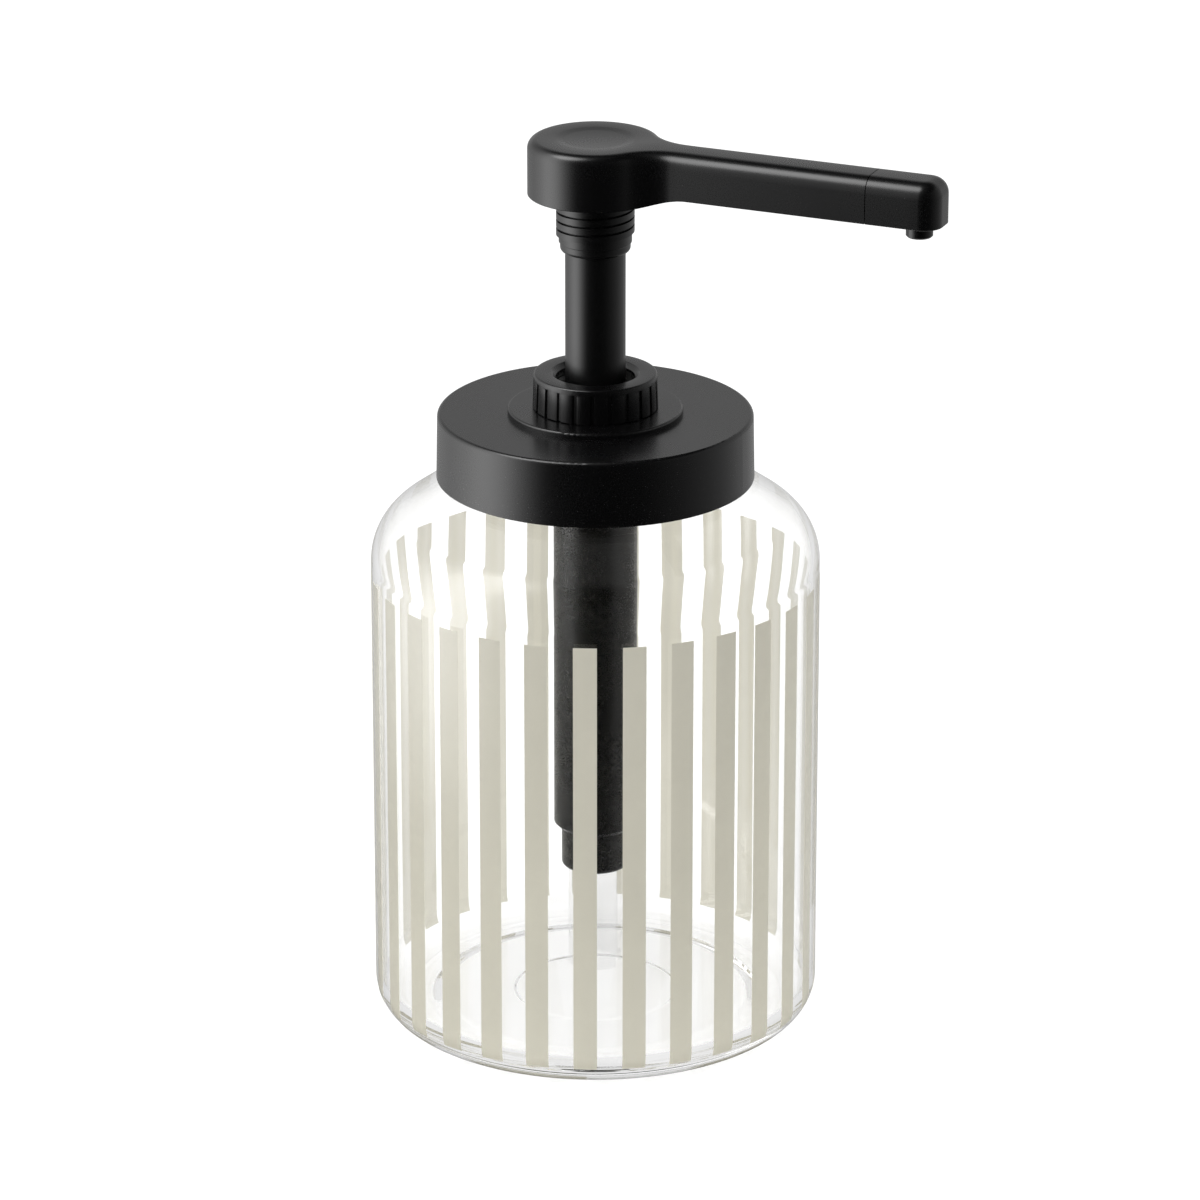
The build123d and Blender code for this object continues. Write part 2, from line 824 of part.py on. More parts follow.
with BuildSketch() as arm_outline:
    with BuildLine():
        Polyline((tangent_x, tangent_y), (0, 0), (tangent_x, -tangent_y))
        ThreePointArc((tangent_x, -tangent_y), (blend_mid_x, -blend_mid_y), (blend_reach, -arm_half_width))
        Line((blend_reach, -arm_half_width), (arm_end - arm_corner, -arm_half_width))
        TangentArc((arm_end - arm_corner, -arm_half_width), (arm_end, -arm_flat), tangent=(1, 0))
        Line((arm_end, -arm_flat), (arm_end, arm_flat))
        TangentArc((arm_end, arm_flat), (arm_end - arm_corner, arm_half_width), tangent=(0, 1))
        Line((arm_end - arm_corner, arm_half_width), (blend_reach, arm_half_width))
        ThreePointArc((blend_reach, arm_half_width), (blend_mid_x, blend_mid_y), (tangent_x, tangent_y))
    make_face()

ramp_end = root_ramp_start + root_ramp_length
ramp_middle = root_ramp_start + root_ramp_length / 2
ramp_mid_z = (head_bottom + arm_bottom) / 2

with BuildPart() as arm_blank:
    with BuildSketch(Plane.XY.offset(head_bottom)):
        add(arm_outline.sketch)
    extrude(amount=head_height)
    fillet(
        arm_blank.edges().group_by(Axis.Z)[-1].filter_by(
            lambda edge: edge.center().X > tangent_x + arm_half_width / 2
        ),
        arm_round,
    )
    with BuildSketch(Plane.XZ):
        with BuildLine():
            low_arc = TangentArc((root_ramp_start, head_bottom), (ramp_middle, ramp_mid_z), tangent=(1, 0))
            TangentArc((ramp_middle, ramp_mid_z), (ramp_end, arm_bottom), tangent=low_arc % 1)
            Polyline(
                (ramp_end, arm_bottom),
                (arm_end + cut_overrun, arm_bottom),
                (arm_end + cut_overrun, head_bottom - cut_overrun),
                (root_ramp_start, head_bottom - cut_overrun),
                (root_ramp_start, head_bottom),
            )
        make_face()
    extrude(amount=head_radius, both=True, mode=Mode.SUBTRACT)


# Head: one moulding with the arm, the socket for the stem and the plug with the lock thread

with BuildPart() as pump_head:
    with BuildSketch(Plane.XY.offset(head_bottom)):
        Circle(head_radius)
    extrude(amount=head_height)
    fillet(pump_head.edges().group_by(Axis.Z)[-1], head_round)
    with BuildSketch(Plane.XY.offset(head_bottom)):
        Circle(head_radius - head_wall)
        Circle(lock_root_radius + head_wall, mode=Mode.SUBTRACT)
        with Locations((head_radius / 2, 0)):
            Rectangle(head_radius, 2 * head_core_rib, mode=Mode.SUBTRACT)
    extrude(amount=head_core_depth, mode=Mode.SUBTRACT)
    with BuildSketch(Plane.XZ):
        with BuildLine():
            Polyline(
                (0, head_top),
                (0, head_top - dish_depth),
                (dish_inner_radius, head_top - dish_depth),
                (dish_outer_radius, head_top),
                close=True,
            )
        make_face()
    revolve(axis=Axis.Z, mode=Mode.SUBTRACT)
    add(split(arm_blank.part, bisect_by=Plane.YZ.offset(seam_place), keep=Keep.BOTTOM, mode=Mode.PRIVATE))
    with BuildSketch(Plane.XZ):
        with BuildLine():
            Polyline(
                (0, plug_bottom),
                (plug_radius, plug_bottom),
                (plug_radius, lock_bottom),
                (lock_root_radius, lock_bottom),
                (lock_root_radius, head_bottom + head_wall),
                (0, head_bottom + head_wall),
                close=True,
            )
        make_face()
    revolve(axis=Axis.Z)
    fillet(pump_head.edges().filter_by(GeomType.CIRCLE).group_by(Axis.Z)[0], plug_round)
    with BuildLine() as lock_path:
        Helix(
            pitch=lock_pitch,
            height=head_bottom - lock_bottom - lock_foot_width - 2 * lock_end_margin,
            radius=lock_root_radius,
            center=(0, 0, lock_bottom + lock_foot_width / 2 + lock_end_margin),
        )
    lock_plane = Plane(origin=lock_path.line @ 0, x_dir=(1, 0, 0), z_dir=lock_path.line % 0)
    with BuildSketch(lock_plane) as lock_tooth:
        with BuildLine():
            Polyline(
                (-thread_root_depth, -lock_foot_width / 2),
                (lock_depth, -lock_crest_width / 2),
                (lock_depth, lock_crest_width / 2),
                (-thread_root_depth, lock_foot_width / 2),
                close=True,
            )
        make_face()
    lock_thread = sweep(lock_tooth.sketch, lock_path.line, is_frenet=True, mode=Mode.PRIVATE)
    with PolarLocations(0, 1, start_angle=thread_turn):
        add(lock_thread)
    with BuildSketch(Plane.XZ):
        with BuildLine():
            Polyline(
                (0, plug_bottom - cut_overrun),
                (stem_radius + seat_gap, plug_bottom - cut_overrun),
                (stem_radius + seat_gap, stem_top),
                (chamber_radius, stem_top),
                (chamber_radius, chamber_top),
                (0, chamber_top),
                close=True,
            )
        make_face()
    revolve(axis=Axis.Z, mode=Mode.SUBTRACT)
    with BuildSketch(Plane.YZ):
        with Locations((0, channel_z)):
            Circle(channel_radius)
    extrude(amount=seam_place + cut_overrun, mode=Mode.SUBTRACT)

pump_head.part.label = "pump_head"
export_step(pump_head.part, "parts/pump_head.step")


# Spout end: the tip of the arm as a separate cap that closes the moulded channel

pocket_radius = nozzle_shank_radius + nozzle_pocket_gap
pocket_top = arm_bottom + nozzle_shank_length + valve_disc_thickness + nozzle_pocket_gap

with BuildPart() as spout_end:
    cap_cut = Plane.YZ.offset(seam_place + seam_gap)
    add(split(arm_blank.part, bisect_by=cap_cut, keep=Keep.TOP, mode=Mode.PRIVATE))
    with BuildSketch(Plane.YZ.offset(seam_place - cap_spigot_length)):
        with Locations((0, channel_z)):
            Circle(channel_radius - cap_spigot_gap)
    extrude(amount=cap_spigot_length + seam_gap + channel_radius)
    with BuildSketch(Plane.YZ.offset(seam_place - cap_spigot_length)):
        with Locations((0, channel_z)):
            Circle(cap_bore_radius)
    extrude(amount=spout_reach - seam_place + cap_spigot_length + cap_bore_overrun, mode=Mode.SUBTRACT)
    with BuildSketch(Plane.XY.offset(arm_bottom - cut_overrun)):
        with Locations((spout_reach, 0)):
            Circle(cap_bore_radius)
    extrude(amount=channel_z - arm_bottom + cut_overrun + cap_bore_overrun, mode=Mode.SUBTRACT)
    with BuildSketch(Plane.XY.offset(arm_bottom - cut_overrun)):
        with Locations((spout_reach, 0)):
            Circle(pocket_radius)
    extrude(amount=pocket_top - arm_bottom + cut_overrun, mode=Mode.SUBTRACT)

spout_end.part.label = "spout_end"
export_step(spout_end.part, "parts/spout_end.step")


# Nozzle insert and the slit silicone disc above it that stops drips

with BuildPart() as nozzle_tip:
    with BuildSketch(Plane.XY.offset(arm_bottom - nozzle_drop)):
        with Locations((spout_reach, 0)):
            Circle(nozzle_radius)
    extrude(amount=nozzle_drop)
    chamfer(nozzle_tip.edges().group_by(Axis.Z)[0], nozzle_chamfer)
    with BuildSketch(Plane.XY.offset(arm_bottom)):
        with Locations((spout_reach, 0)):
            Circle(nozzle_shank_radius)
    extrude(amount=nozzle_shank_length)
    with BuildSketch(Plane.XY.offset(arm_bottom - nozzle_drop)):
        with Locations((spout_reach, 0)):
            Circle(nozzle_bore_radius)
    extrude(amount=nozzle_drop + nozzle_shank_length, mode=Mode.SUBTRACT)

nozzle_tip.part.label = "nozzle_tip"
export_step(nozzle_tip.part, "parts/nozzle_tip.step")

with BuildPart() as drip_valve:
    with BuildSketch(Plane.XY.offset(arm_bottom + nozzle_shank_length)):
        with Locations((spout_reach, 0)):
            Circle(nozzle_shank_radius)
            Rectangle(2 * nozzle_bore_radius, valve_slit_width, mode=Mode.SUBTRACT)
            Rectangle(valve_slit_width, 2 * nozzle_bore_radius, mode=Mode.SUBTRACT)
    extrude(amount=valve_disc_thickness)

drip_valve.part.label = "drip_valve"
export_step(drip_valve.part, "parts/drip_valve.step")
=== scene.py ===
"""Looks of a sauce dispenser: a striped glass jar, a black twist-off lid and a pump with a long spout.

Lengths are in metres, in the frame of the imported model: the origin is the centre of the jar's base, +Z is up
and the spout points along +X. Angles are in degrees unless a name says otherwise.
"""

from __future__ import annotations

import json
import logging
import math
from dataclasses import dataclass, field
from enum import Enum
from typing import Any, Callable, Iterable, Sequence

import bmesh
import bpy
from mathutils import Matrix, Vector
from mathutils.geometry import delaunay_2d_cdt

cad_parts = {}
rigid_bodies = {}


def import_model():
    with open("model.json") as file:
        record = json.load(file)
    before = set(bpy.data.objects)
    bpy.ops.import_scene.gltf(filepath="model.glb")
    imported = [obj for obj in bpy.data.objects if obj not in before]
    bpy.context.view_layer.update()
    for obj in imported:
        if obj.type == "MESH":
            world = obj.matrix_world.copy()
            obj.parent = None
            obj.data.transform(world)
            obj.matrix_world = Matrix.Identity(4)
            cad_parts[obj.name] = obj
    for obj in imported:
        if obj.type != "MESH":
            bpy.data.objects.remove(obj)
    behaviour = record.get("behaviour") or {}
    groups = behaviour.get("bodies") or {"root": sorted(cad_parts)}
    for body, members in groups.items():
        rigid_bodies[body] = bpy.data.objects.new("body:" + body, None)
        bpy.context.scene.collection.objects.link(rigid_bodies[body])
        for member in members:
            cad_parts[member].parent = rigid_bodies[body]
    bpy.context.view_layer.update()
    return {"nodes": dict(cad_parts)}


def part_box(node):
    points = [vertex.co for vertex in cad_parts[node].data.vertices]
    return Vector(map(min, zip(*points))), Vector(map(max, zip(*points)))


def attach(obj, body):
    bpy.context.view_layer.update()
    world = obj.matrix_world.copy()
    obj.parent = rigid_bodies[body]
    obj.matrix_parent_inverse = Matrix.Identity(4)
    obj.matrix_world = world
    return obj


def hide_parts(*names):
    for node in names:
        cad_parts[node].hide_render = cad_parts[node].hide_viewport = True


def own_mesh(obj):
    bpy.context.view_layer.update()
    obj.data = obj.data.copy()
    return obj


LOG = logging.getLogger("sauce_dispenser")

Node = bpy.types.Node
Socket = bpy.types.NodeSocket
Piece = bpy.types.Object
Point2 = tuple[float, float]
Fade = tuple[float, float]
Colour = tuple[float, float, float]
Outline = list[tuple[Vector, Vector]]
MM = 0.001
TINY = 0.001 * MM
SAME_PLACE = 1e-9
WHITE = (1.0, 1.0, 1.0, 1.0)
BLACK = (0.0012, 0.0012, 0.0013)


# Shader and geometry maths


class Val:
    """A node output that can be used in arithmetic, each operation adding one Math node."""

    def __init__(self, graph: Graph, socket: Socket) -> None:
        """Wrap an output socket of a graph."""
        self.graph = graph
        self.socket = socket

    def math(self, operation: str, *others: Any) -> Val:
        """Run a Math node on this value and the others, which are values or numbers."""
        inputs = dict(enumerate((self, *others)))
        return self.graph.value("ShaderNodeMath", 0, {"operation": operation}, inputs)

    def __add__(self, other: Any) -> Val:
        """Add."""
        return self.math("ADD", other)

    __radd__ = __add__

    def __mul__(self, other: Any) -> Val:
        """Multiply."""
        return self.math("MULTIPLY", other)

    __rmul__ = __mul__

    def __sub__(self, other: Any) -> Val:
        """Subtract."""
        return self.math("SUBTRACT", other)

    def __rsub__(self, other: float) -> Val:
        """Subtract this value from a number."""
        return self.math("MULTIPLY", -1.0).math("ADD", other)

    def __truediv__(self, other: Any) -> Val:
        """Divide."""
        return self.math("DIVIDE", other)

    def __rtruediv__(self, other: float) -> Val:
        """Divide a number by this value."""
        return self.math("POWER", -1.0).math("MULTIPLY", other)

    def __pow__(self, power: float) -> Val:
        """Raise to a power."""
        return self.math("POWER", power)

    def above(self, limit: float) -> Val:
        """1 where the value is above a limit, and otherwise 0."""
        return self.math("GREATER_THAN", limit)

    def below(self, limit: float) -> Val:
        """1 where the value is below a limit, and otherwise 0."""
        return self.math("LESS_THAN", limit)

    def lowest(self, other: Any) -> Val:
        """The lesser of two values."""
        return self.math("MINIMUM", other)

    def highest(self, other: Any) -> Val:
        """The greater of two values."""
        return self.math("MAXIMUM", other)

    def ease(self, low: float, high: float) -> Val:
        """A smooth step that is 0 at low and 1 at high."""
        inputs = {"Value": self, "From Min": low, "From Max": high}
        return self.graph.value("ShaderNodeMapRange", 0, {"interpolation_type": "SMOOTHSTEP"}, inputs)


class Graph:
    """A node tree, with one method that adds any node and a few that name common results."""

    def __init__(self, tree: bpy.types.NodeTree) -> None:
        """Wrap a node tree."""
        self.tree = tree

    def node(self, kind: str, settings: dict[str, Any] | None = None,
             inputs: dict[Any, Any] | None = None) -> Node:
        """Add a node.

        Args:
            kind: The node's type name.
            settings: Properties that are set before the inputs; a ramp's stops go under "stops".
            inputs: Values or links, by socket name or number.

        Returns:
            The new node.
        """
        node = self.tree.nodes.new(kind)
        for name, value in (settings or {}).items():
            if name == "stops":
                ramp = node.color_ramp
                while len(ramp.elements) < len(value):
                    ramp.elements.new(1.0)
                for stop, (place, shade) in zip(ramp.elements, value):
                    stop.position = place
                    stop.color = opaque(shade)
            else:
                setattr(node, name, value)
        for key, value in (inputs or {}).items():
            source = value.socket if isinstance(value, Val) else value
            if isinstance(source, Socket):
                self.tree.links.new(source, node.inputs[key])
            else:
                node.inputs[key].default_value = source
        return node

    def value(self, kind: str, output: Any = 0, settings: dict[str, Any] | None = None,
              inputs: dict[Any, Any] | None = None) -> Val:
        """Add a node and take one of its outputs as a value."""
        return Val(self, self.node(kind, settings, inputs).outputs[output])

    def vector_math(self, operation: str, *operands: Any, output: Any = 0) -> Val:
        """Run a Vector Math node on its operands."""
        inputs = dict(enumerate(operands))
        return self.value("ShaderNodeVectorMath", output, {"operation": operation}, inputs)

    def upward(self, height: Any) -> Val:
        """A vector along Z."""
        return self.value("ShaderNodeCombineXYZ", 0, {}, {"Z": height})

    def place(self) -> Val:
        """The position on the object, in its own coordinates."""
        return self.value("ShaderNodeTexCoord", "Object")

    def along(self, vector: Val, direction: Sequence[float]) -> Val:
        """How far a vector points along a fixed direction."""
        return self.vector_math("DOT_PRODUCT", vector, tuple(direction), output="Value")

    def blend(self, share: Any, first: Any, second: Any) -> Val:
        """Mix two colours by a share from 0 to 1."""
        return self.value("ShaderNodeMix", 2, {"data_type": "RGBA"}, {0: share, 6: first, 7: second})

    def mottled(self, share: Val, colour: Colour, darkest: float, lightest: float) -> Val:
        """A colour that changes by a share from a darker to a lighter shade of itself."""
        dark, light = (tuple(min(1.0, part * level) for part in colour) for level in (darkest, lightest))
        return self.blend(share, opaque(dark), opaque(light))

    def grain(self, place: Val, size: float, detail: float = 2.0,
              stretch: Sequence[float] = (1, 1, 1)) -> Val:
        """A noise value from 0 to 1 whose features are about the given size in metres."""
        spots = self.vector_math("MULTIPLY", place, tuple(part / size for part in stretch))
        return self.value("ShaderNodeTexNoise", 0, {}, {"Vector": spots, "Scale": 1.0, "Detail": detail})

    def bump(self, height: Val, depth: float, strength: float = 1.0) -> Val:
        """A normal that follows a height from 0 to 1 of the given depth in metres."""
        inputs = {"Height": height, "Distance": depth, "Strength": strength}
        return self.value("ShaderNodeBump", 0, {}, inputs)

    def mixed(self, share: Any, first: Node, second: Node) -> Node:
        """Mix two shaders by a share from 0 to 1."""
        return self.node("ShaderNodeMixShader", {}, {0: share, 1: first.outputs[0], 2: second.outputs[0]})

    def glossed(self, shader: Node, roughness: float) -> Node:
        """Put a clear gloss over a shader, on its outer side alone.

        Args:
            shader: What lies under the gloss.
            roughness: The roughness of the gloss.

        Returns:
            The mix of the two.
        """
        outside = 1.0 - self.value("ShaderNodeNewGeometry", "Backfacing")
        shine = self.value("ShaderNodeFresnel", 0, {}, {"IOR": 1.5}) * outside
        gloss = self.node("ShaderNodeBsdfGlossy", {}, {"Color": WHITE, "Roughness": roughness})
        return self.mixed(shine, shader, gloss)


def opaque(colour: Colour) -> tuple[float, float, float, float]:
    """A colour with its alpha of 1."""
    return (*colour, 1.0)


def material_of(name: str, shader: Callable[[Graph], Node]) -> bpy.types.Material:
    """Make a material.

    Args:
        name: The material's name.
        shader: What builds the shader in the material's graph.

    Returns:
        The material.
    """
    material = bpy.data.materials.new(name)
    material.use_nodes = True
    material.node_tree.nodes.clear()
    graph = Graph(material.node_tree)
    graph.node("ShaderNodeOutputMaterial", {}, {0: shader(graph).outputs[0]})
    return material


# Finishes


@dataclass(frozen=True)
class MouldedPlastic:
    """Injection-moulded plastic: a fine sparked grain, faint flow marks and a soft sheen."""

    name: str
    colour: Colour
    roughness: float
    grain_size: float
    grain_depth: float
    solidity: float = 1.0
    gloss_roughness: float = 0.0
    flow_size: float = 18 * MM
    darkest: float = 0.82
    lightest: float = 1.16
    flow_change: float = 0.07
    grain_change: float = 0.05

    def shader(self, graph: Graph) -> Node:
        """Build the shader.

        Args:
            graph: The material's graph.

        Returns:
            The shader node.
        """
        place = graph.place()
        fine = graph.grain(place, self.grain_size, detail=3.0)
        broad = graph.grain(place, self.flow_size)
        least = self.roughness - (self.flow_change + self.grain_change) / 2
        shader = graph.node("ShaderNodeBsdfPrincipled", {}, {
            "Base Color": graph.mottled(broad, self.colour, self.darkest, self.lightest),
            "Roughness": broad * self.flow_change + fine * self.grain_change + least,
            "IOR": 1.49, "Alpha": self.solidity, "Normal": graph.bump(fine, self.grain_depth),
        })
        return graph.glossed(shader, self.gloss_roughness) if self.gloss_roughness else shader


@dataclass(frozen=True)
class ClearGlass:
    """Clear moulded glass that lets light into the jar, with painted edge shade: greyer where it is seen edge
    on.
    """

    name: str
    colour: Colour
    painted_edge_shade: Colour
    shadow_colour: Colour = (0.97, 0.97, 0.968)
    painted_edge_power: float = 3.0
    wave_size: float = 30 * MM
    wave_depth: float = 0.4 * MM
    wave_strength: float = 0.25
    wave_stretch: tuple[float, ...] = (1, 1, 0.35)
    mirrorings: int = 2

    def shader(self, graph: Graph) -> Node:
        """Build the shader: glass that light and the last mirrorings inside it pass straight through.

        Args:
            graph: The material's graph.

        Returns:
            The shader node.
        """
        facing = graph.value("ShaderNodeLayerWeight", "Facing", {}, {"Blend": 0.5})
        # Painted shade: the colour greys towards the outline, in place of the dark reflections there.
        edge_shaded_tint = graph.blend(facing ** self.painted_edge_power, opaque(self.colour), opaque(self.painted_edge_shade))
        wave = graph.grain(graph.place(), self.wave_size, detail=1.0, stretch=self.wave_stretch)
        glass = graph.node("ShaderNodeBsdfPrincipled", {}, {
            "Base Color": edge_shaded_tint, "Roughness": 0.0, "IOR": 1.5, "Transmission Weight": 1.0,
            "Normal": graph.bump(wave, self.wave_depth, self.wave_strength),
        })
        clear = graph.node("ShaderNodeBsdfTransparent", {}, {"Color": opaque(self.shadow_colour)})
        path = graph.node("ShaderNodeLightPath")
        light = Val(graph, path.outputs["Is Shadow Ray"]).highest(Val(graph, path.outputs["Is Diffuse Ray"]))
        trapped = Val(graph, path.outputs["Glossy Depth"]).above(self.mirrorings - 0.5)
        return graph.mixed(light.highest(trapped), glass, clear)


@dataclass(frozen=True)
class StripeInk:
    """Opaque printed ink with a slightly uneven film, under the gloss of its firing."""

    name: str
    colour: Colour
    glow_through: float
    roughness: float = 0.22
    roughness_change: float = 0.1
    gloss_roughness: float = 0.08
    film_size: float = 4 * MM
    film_depth: float = 0.02 * MM
    cloud_size: float = 30 * MM
    unevenness: float = 0.03

    def shader(self, graph: Graph) -> Node:
        """Build the shader.

        Args:
            graph: The material's graph.

        Returns:
            The shader node.
        """
        place = graph.place()
        film = graph.grain(place, self.film_size, detail=3.0)
        cloud = graph.grain(place, self.cloud_size)
        shade = graph.mottled(cloud, self.colour, 1 - self.unevenness, 1 + self.unevenness)
        front = graph.node("ShaderNodeBsdfPrincipled", {}, {
            "Base Color": shade, "Roughness": film * self.roughness_change + self.roughness, "IOR": 1.45,
            "Normal": graph.bump(film, self.film_depth, strength=0.5),
        })
        behind = graph.node("ShaderNodeBsdfTranslucent", {}, {"Color": shade})
        return graph.glossed(graph.mixed(self.glow_through, front, behind), self.gloss_roughness)


@dataclass(frozen=True)
class PlainSteel:
    """Polished or drawn stainless steel."""

    name: str
    colour: Colour
    roughness: float
    roughness_change: float = 0.1
    streak_size: float = 0.6 * MM
    streak_depth: float = 0.005 * MM

    def shader(self, graph: Graph) -> Node:
        """Build the shader.

        Args:
            graph: The material's graph.

        Returns:
            The shader node.
        """
        streak = graph.grain(graph.place(), self.streak_size, detail=3.0)
        return graph.node("ShaderNodeBsdfPrincipled", {}, {
            "Base Color": opaque(self.colour), "Metallic": 1.0,
            "Roughness": streak * self.roughness_change + self.roughness,
            "Normal": graph.bump(streak, self.streak_depth, strength=0.5),
        })


class Finish(Enum):
    """The finishes of the dispenser."""

    SATIN_BLACK = MouldedPlastic(
        "satin_black", BLACK, roughness=0.27, grain_size=0.35 * MM, grain_depth=0.002 * MM,
    )
    SMOOTH_BLACK = MouldedPlastic(
        "smooth_black", BLACK, roughness=0.32, grain_size=0.5 * MM, grain_depth=0.0015 * MM,
    )
    MILKY = MouldedPlastic(
        "milky_natural", (0.84, 0.845, 0.83), roughness=0.4, grain_size=0.6 * MM, grain_depth=0.004 * MM,
    )
    CLEAR_TUBE = MouldedPlastic(
        "thin_milky_tube", (0.5, 0.505, 0.495), roughness=0.35, grain_size=0.6 * MM,
        grain_depth=0.004 * MM, solidity=0.06, gloss_roughness=0.12,
    )
    SILICONE = MouldedPlastic(
        "soft_silicone", (0.42, 0.42, 0.41), roughness=0.6, grain_size=0.4 * MM, grain_depth=0.01 * MM,
    )
    GLASS = ClearGlass("jar_glass_clear", (0.998, 0.998, 0.997), painted_edge_shade=(0.88, 0.882, 0.88))
    INK = StripeInk("warm_grey_ink", (0.835, 0.82, 0.752), glow_through=0.8)
    STEEL = PlainSteel("bright_steel", (0.62, 0.62, 0.63), roughness=0.2)

    def material(self) -> bpy.types.Material:
        """The finish's material, built on first use."""
        return bpy.data.materials.get(self.value.name) or material_of(self.value.name, self.value.shader)


# Mesh tools


def polar(radius: float, angle: float) -> Point2:
    """The (x, y) point at a radius and an angle in radians."""
    return radius * math.cos(angle), radius * math.sin(angle)


def spread(first: float, last: float, count: int) -> list[float]:
    """Values in a number of even steps from the first to the last, both included."""
    return [first + (last - first) * i / count for i in range(count + 1)]


def spin_angles(count: int, first: float = 0.0) -> list[float]:
    """Evenly spaced angles in radians, the first given in degrees."""
    return [math.radians(first) + 2 * math.pi * i / count for i in range(count)]


def held(share: float) -> float:
    """A number held between 0 and 1."""
    return max(0.0, min(1.0, share))


def smooth_step(share: float) -> float:
    """A smooth step that is 0 up to 0, and 1 from 1 on."""
    share = held(share)
    return share * share * (3 - 2 * share)


def rounded(corners: Sequence[Point2], radii: Sequence[float], step: float) -> list[Point2]:
    """Round the inner corners of a line.

    Args:
        corners: The line's points.
        radii: One radius for each corner between the ends, 0 for a sharp one.
        step: The largest angle in degrees between two points of a rounding.

    Returns:
        The rounded line's points.
    """
    line = [corners[0]]
    for before, corner, after, radius in zip(corners, corners[1:], corners[2:], radii):
        if radius <= 0:
            line.append(corner)
            continue
        here = Vector(corner)
        back = (Vector(before) - here).normalized()
        ahead = (Vector(after) - here).normalized()
        half = back.angle(ahead) / 2
        centre = here + (back + ahead).normalized() * (radius / math.sin(half))
        start = here + back * (radius / math.tan(half)) - centre
        finish = here + ahead * (radius / math.tan(half)) - centre
        turn = start.angle_signed(finish)
        count = max(2, math.ceil(abs(math.degrees(turn)) / step))
        for i in range(count + 1):
            line.append(tuple(centre + Matrix.Rotation(-turn * i / count, 2) @ start))
    line.append(corners[-1])
    return line


def eased(line: Sequence[Point2], margin: float, longest: float) -> list[Point2]:
    """Add points near the ends of long straight stretches, so that shading stays true there.

    Args:
        line: The line's points.
        margin: How far from an end the added point lies.
        longest: The longest stretch between two points.

    Returns:
        The line with its added points.
    """
    out = [line[0]]
    for a, b in zip(line, line[1:]):
        start, end = Vector(a), Vector(b)
        length = (end - start).length
        if length > 3 * margin and start.x > SAME_PLACE and end.x > SAME_PLACE:
            inner = max(1, math.ceil((length - 2 * margin) / longest))
            spots = [margin + (length - 2 * margin) * i / inner for i in range(inner + 1)]
            out += [tuple(start.lerp(end, s / length)) for s in spots]
        out.append(b)
    return out


def faced_out(mesh: bpy.types.Mesh, merge: float = 0.0) -> None:
    """Turn a mesh's faces outwards.

    Args:
        mesh: The mesh.
        merge: Points closer than this are merged first, unless it is 0.
    """
    work = bmesh.new()
    work.from_mesh(mesh)
    if merge:
        bmesh.ops.remove_doubles(work, verts=work.verts, dist=merge)
        bmesh.ops.dissolve_degenerate(work, dist=merge / 10, edges=work.edges)
    bmesh.ops.recalc_face_normals(work, faces=work.faces)
    work.to_mesh(mesh)
    work.free()


def linked(name: str, mesh: bpy.types.Mesh, finish: Finish, sharp: float) -> Piece:
    """Put a mesh into the scene as an object with one finish, shaded smooth.

    Args:
        name: The object's name.
        mesh: Its mesh.
        finish: Its finish.
        sharp: The angle in degrees above which an edge stays sharp.

    Returns:
        The object.
    """
    mesh.materials.clear()
    mesh.materials.append(finish.material())
    for face in mesh.polygons:
        face.use_smooth = True
    mesh.set_sharp_from_angle(angle=math.radians(sharp))
    piece = bpy.data.objects.new(name, mesh)
    bpy.context.scene.collection.objects.link(piece)
    return piece


def dropped(piece: Piece) -> None:
    """Delete an object and its mesh.

    Args:
        piece: The object.
    """
    mesh = piece.data
    bpy.data.objects.remove(piece)
    bpy.data.meshes.remove(mesh)


def joined(name: str, pieces: Sequence[Piece], finish: Finish, sharp: float) -> Piece:
    """Join several pieces of one finish into one object.

    Args:
        name: The new object's name.
        pieces: The pieces, which are deleted.
        finish: Their finish.
        sharp: The angle in degrees above which an edge stays sharp.

    Returns:
        The new object.
    """
    work = bmesh.new()
    for piece in pieces:
        work.from_mesh(piece.data)
        dropped(piece)
    mesh = bpy.data.meshes.new(name)
    work.to_mesh(mesh)
    work.free()
    return linked(name, mesh, finish, sharp)


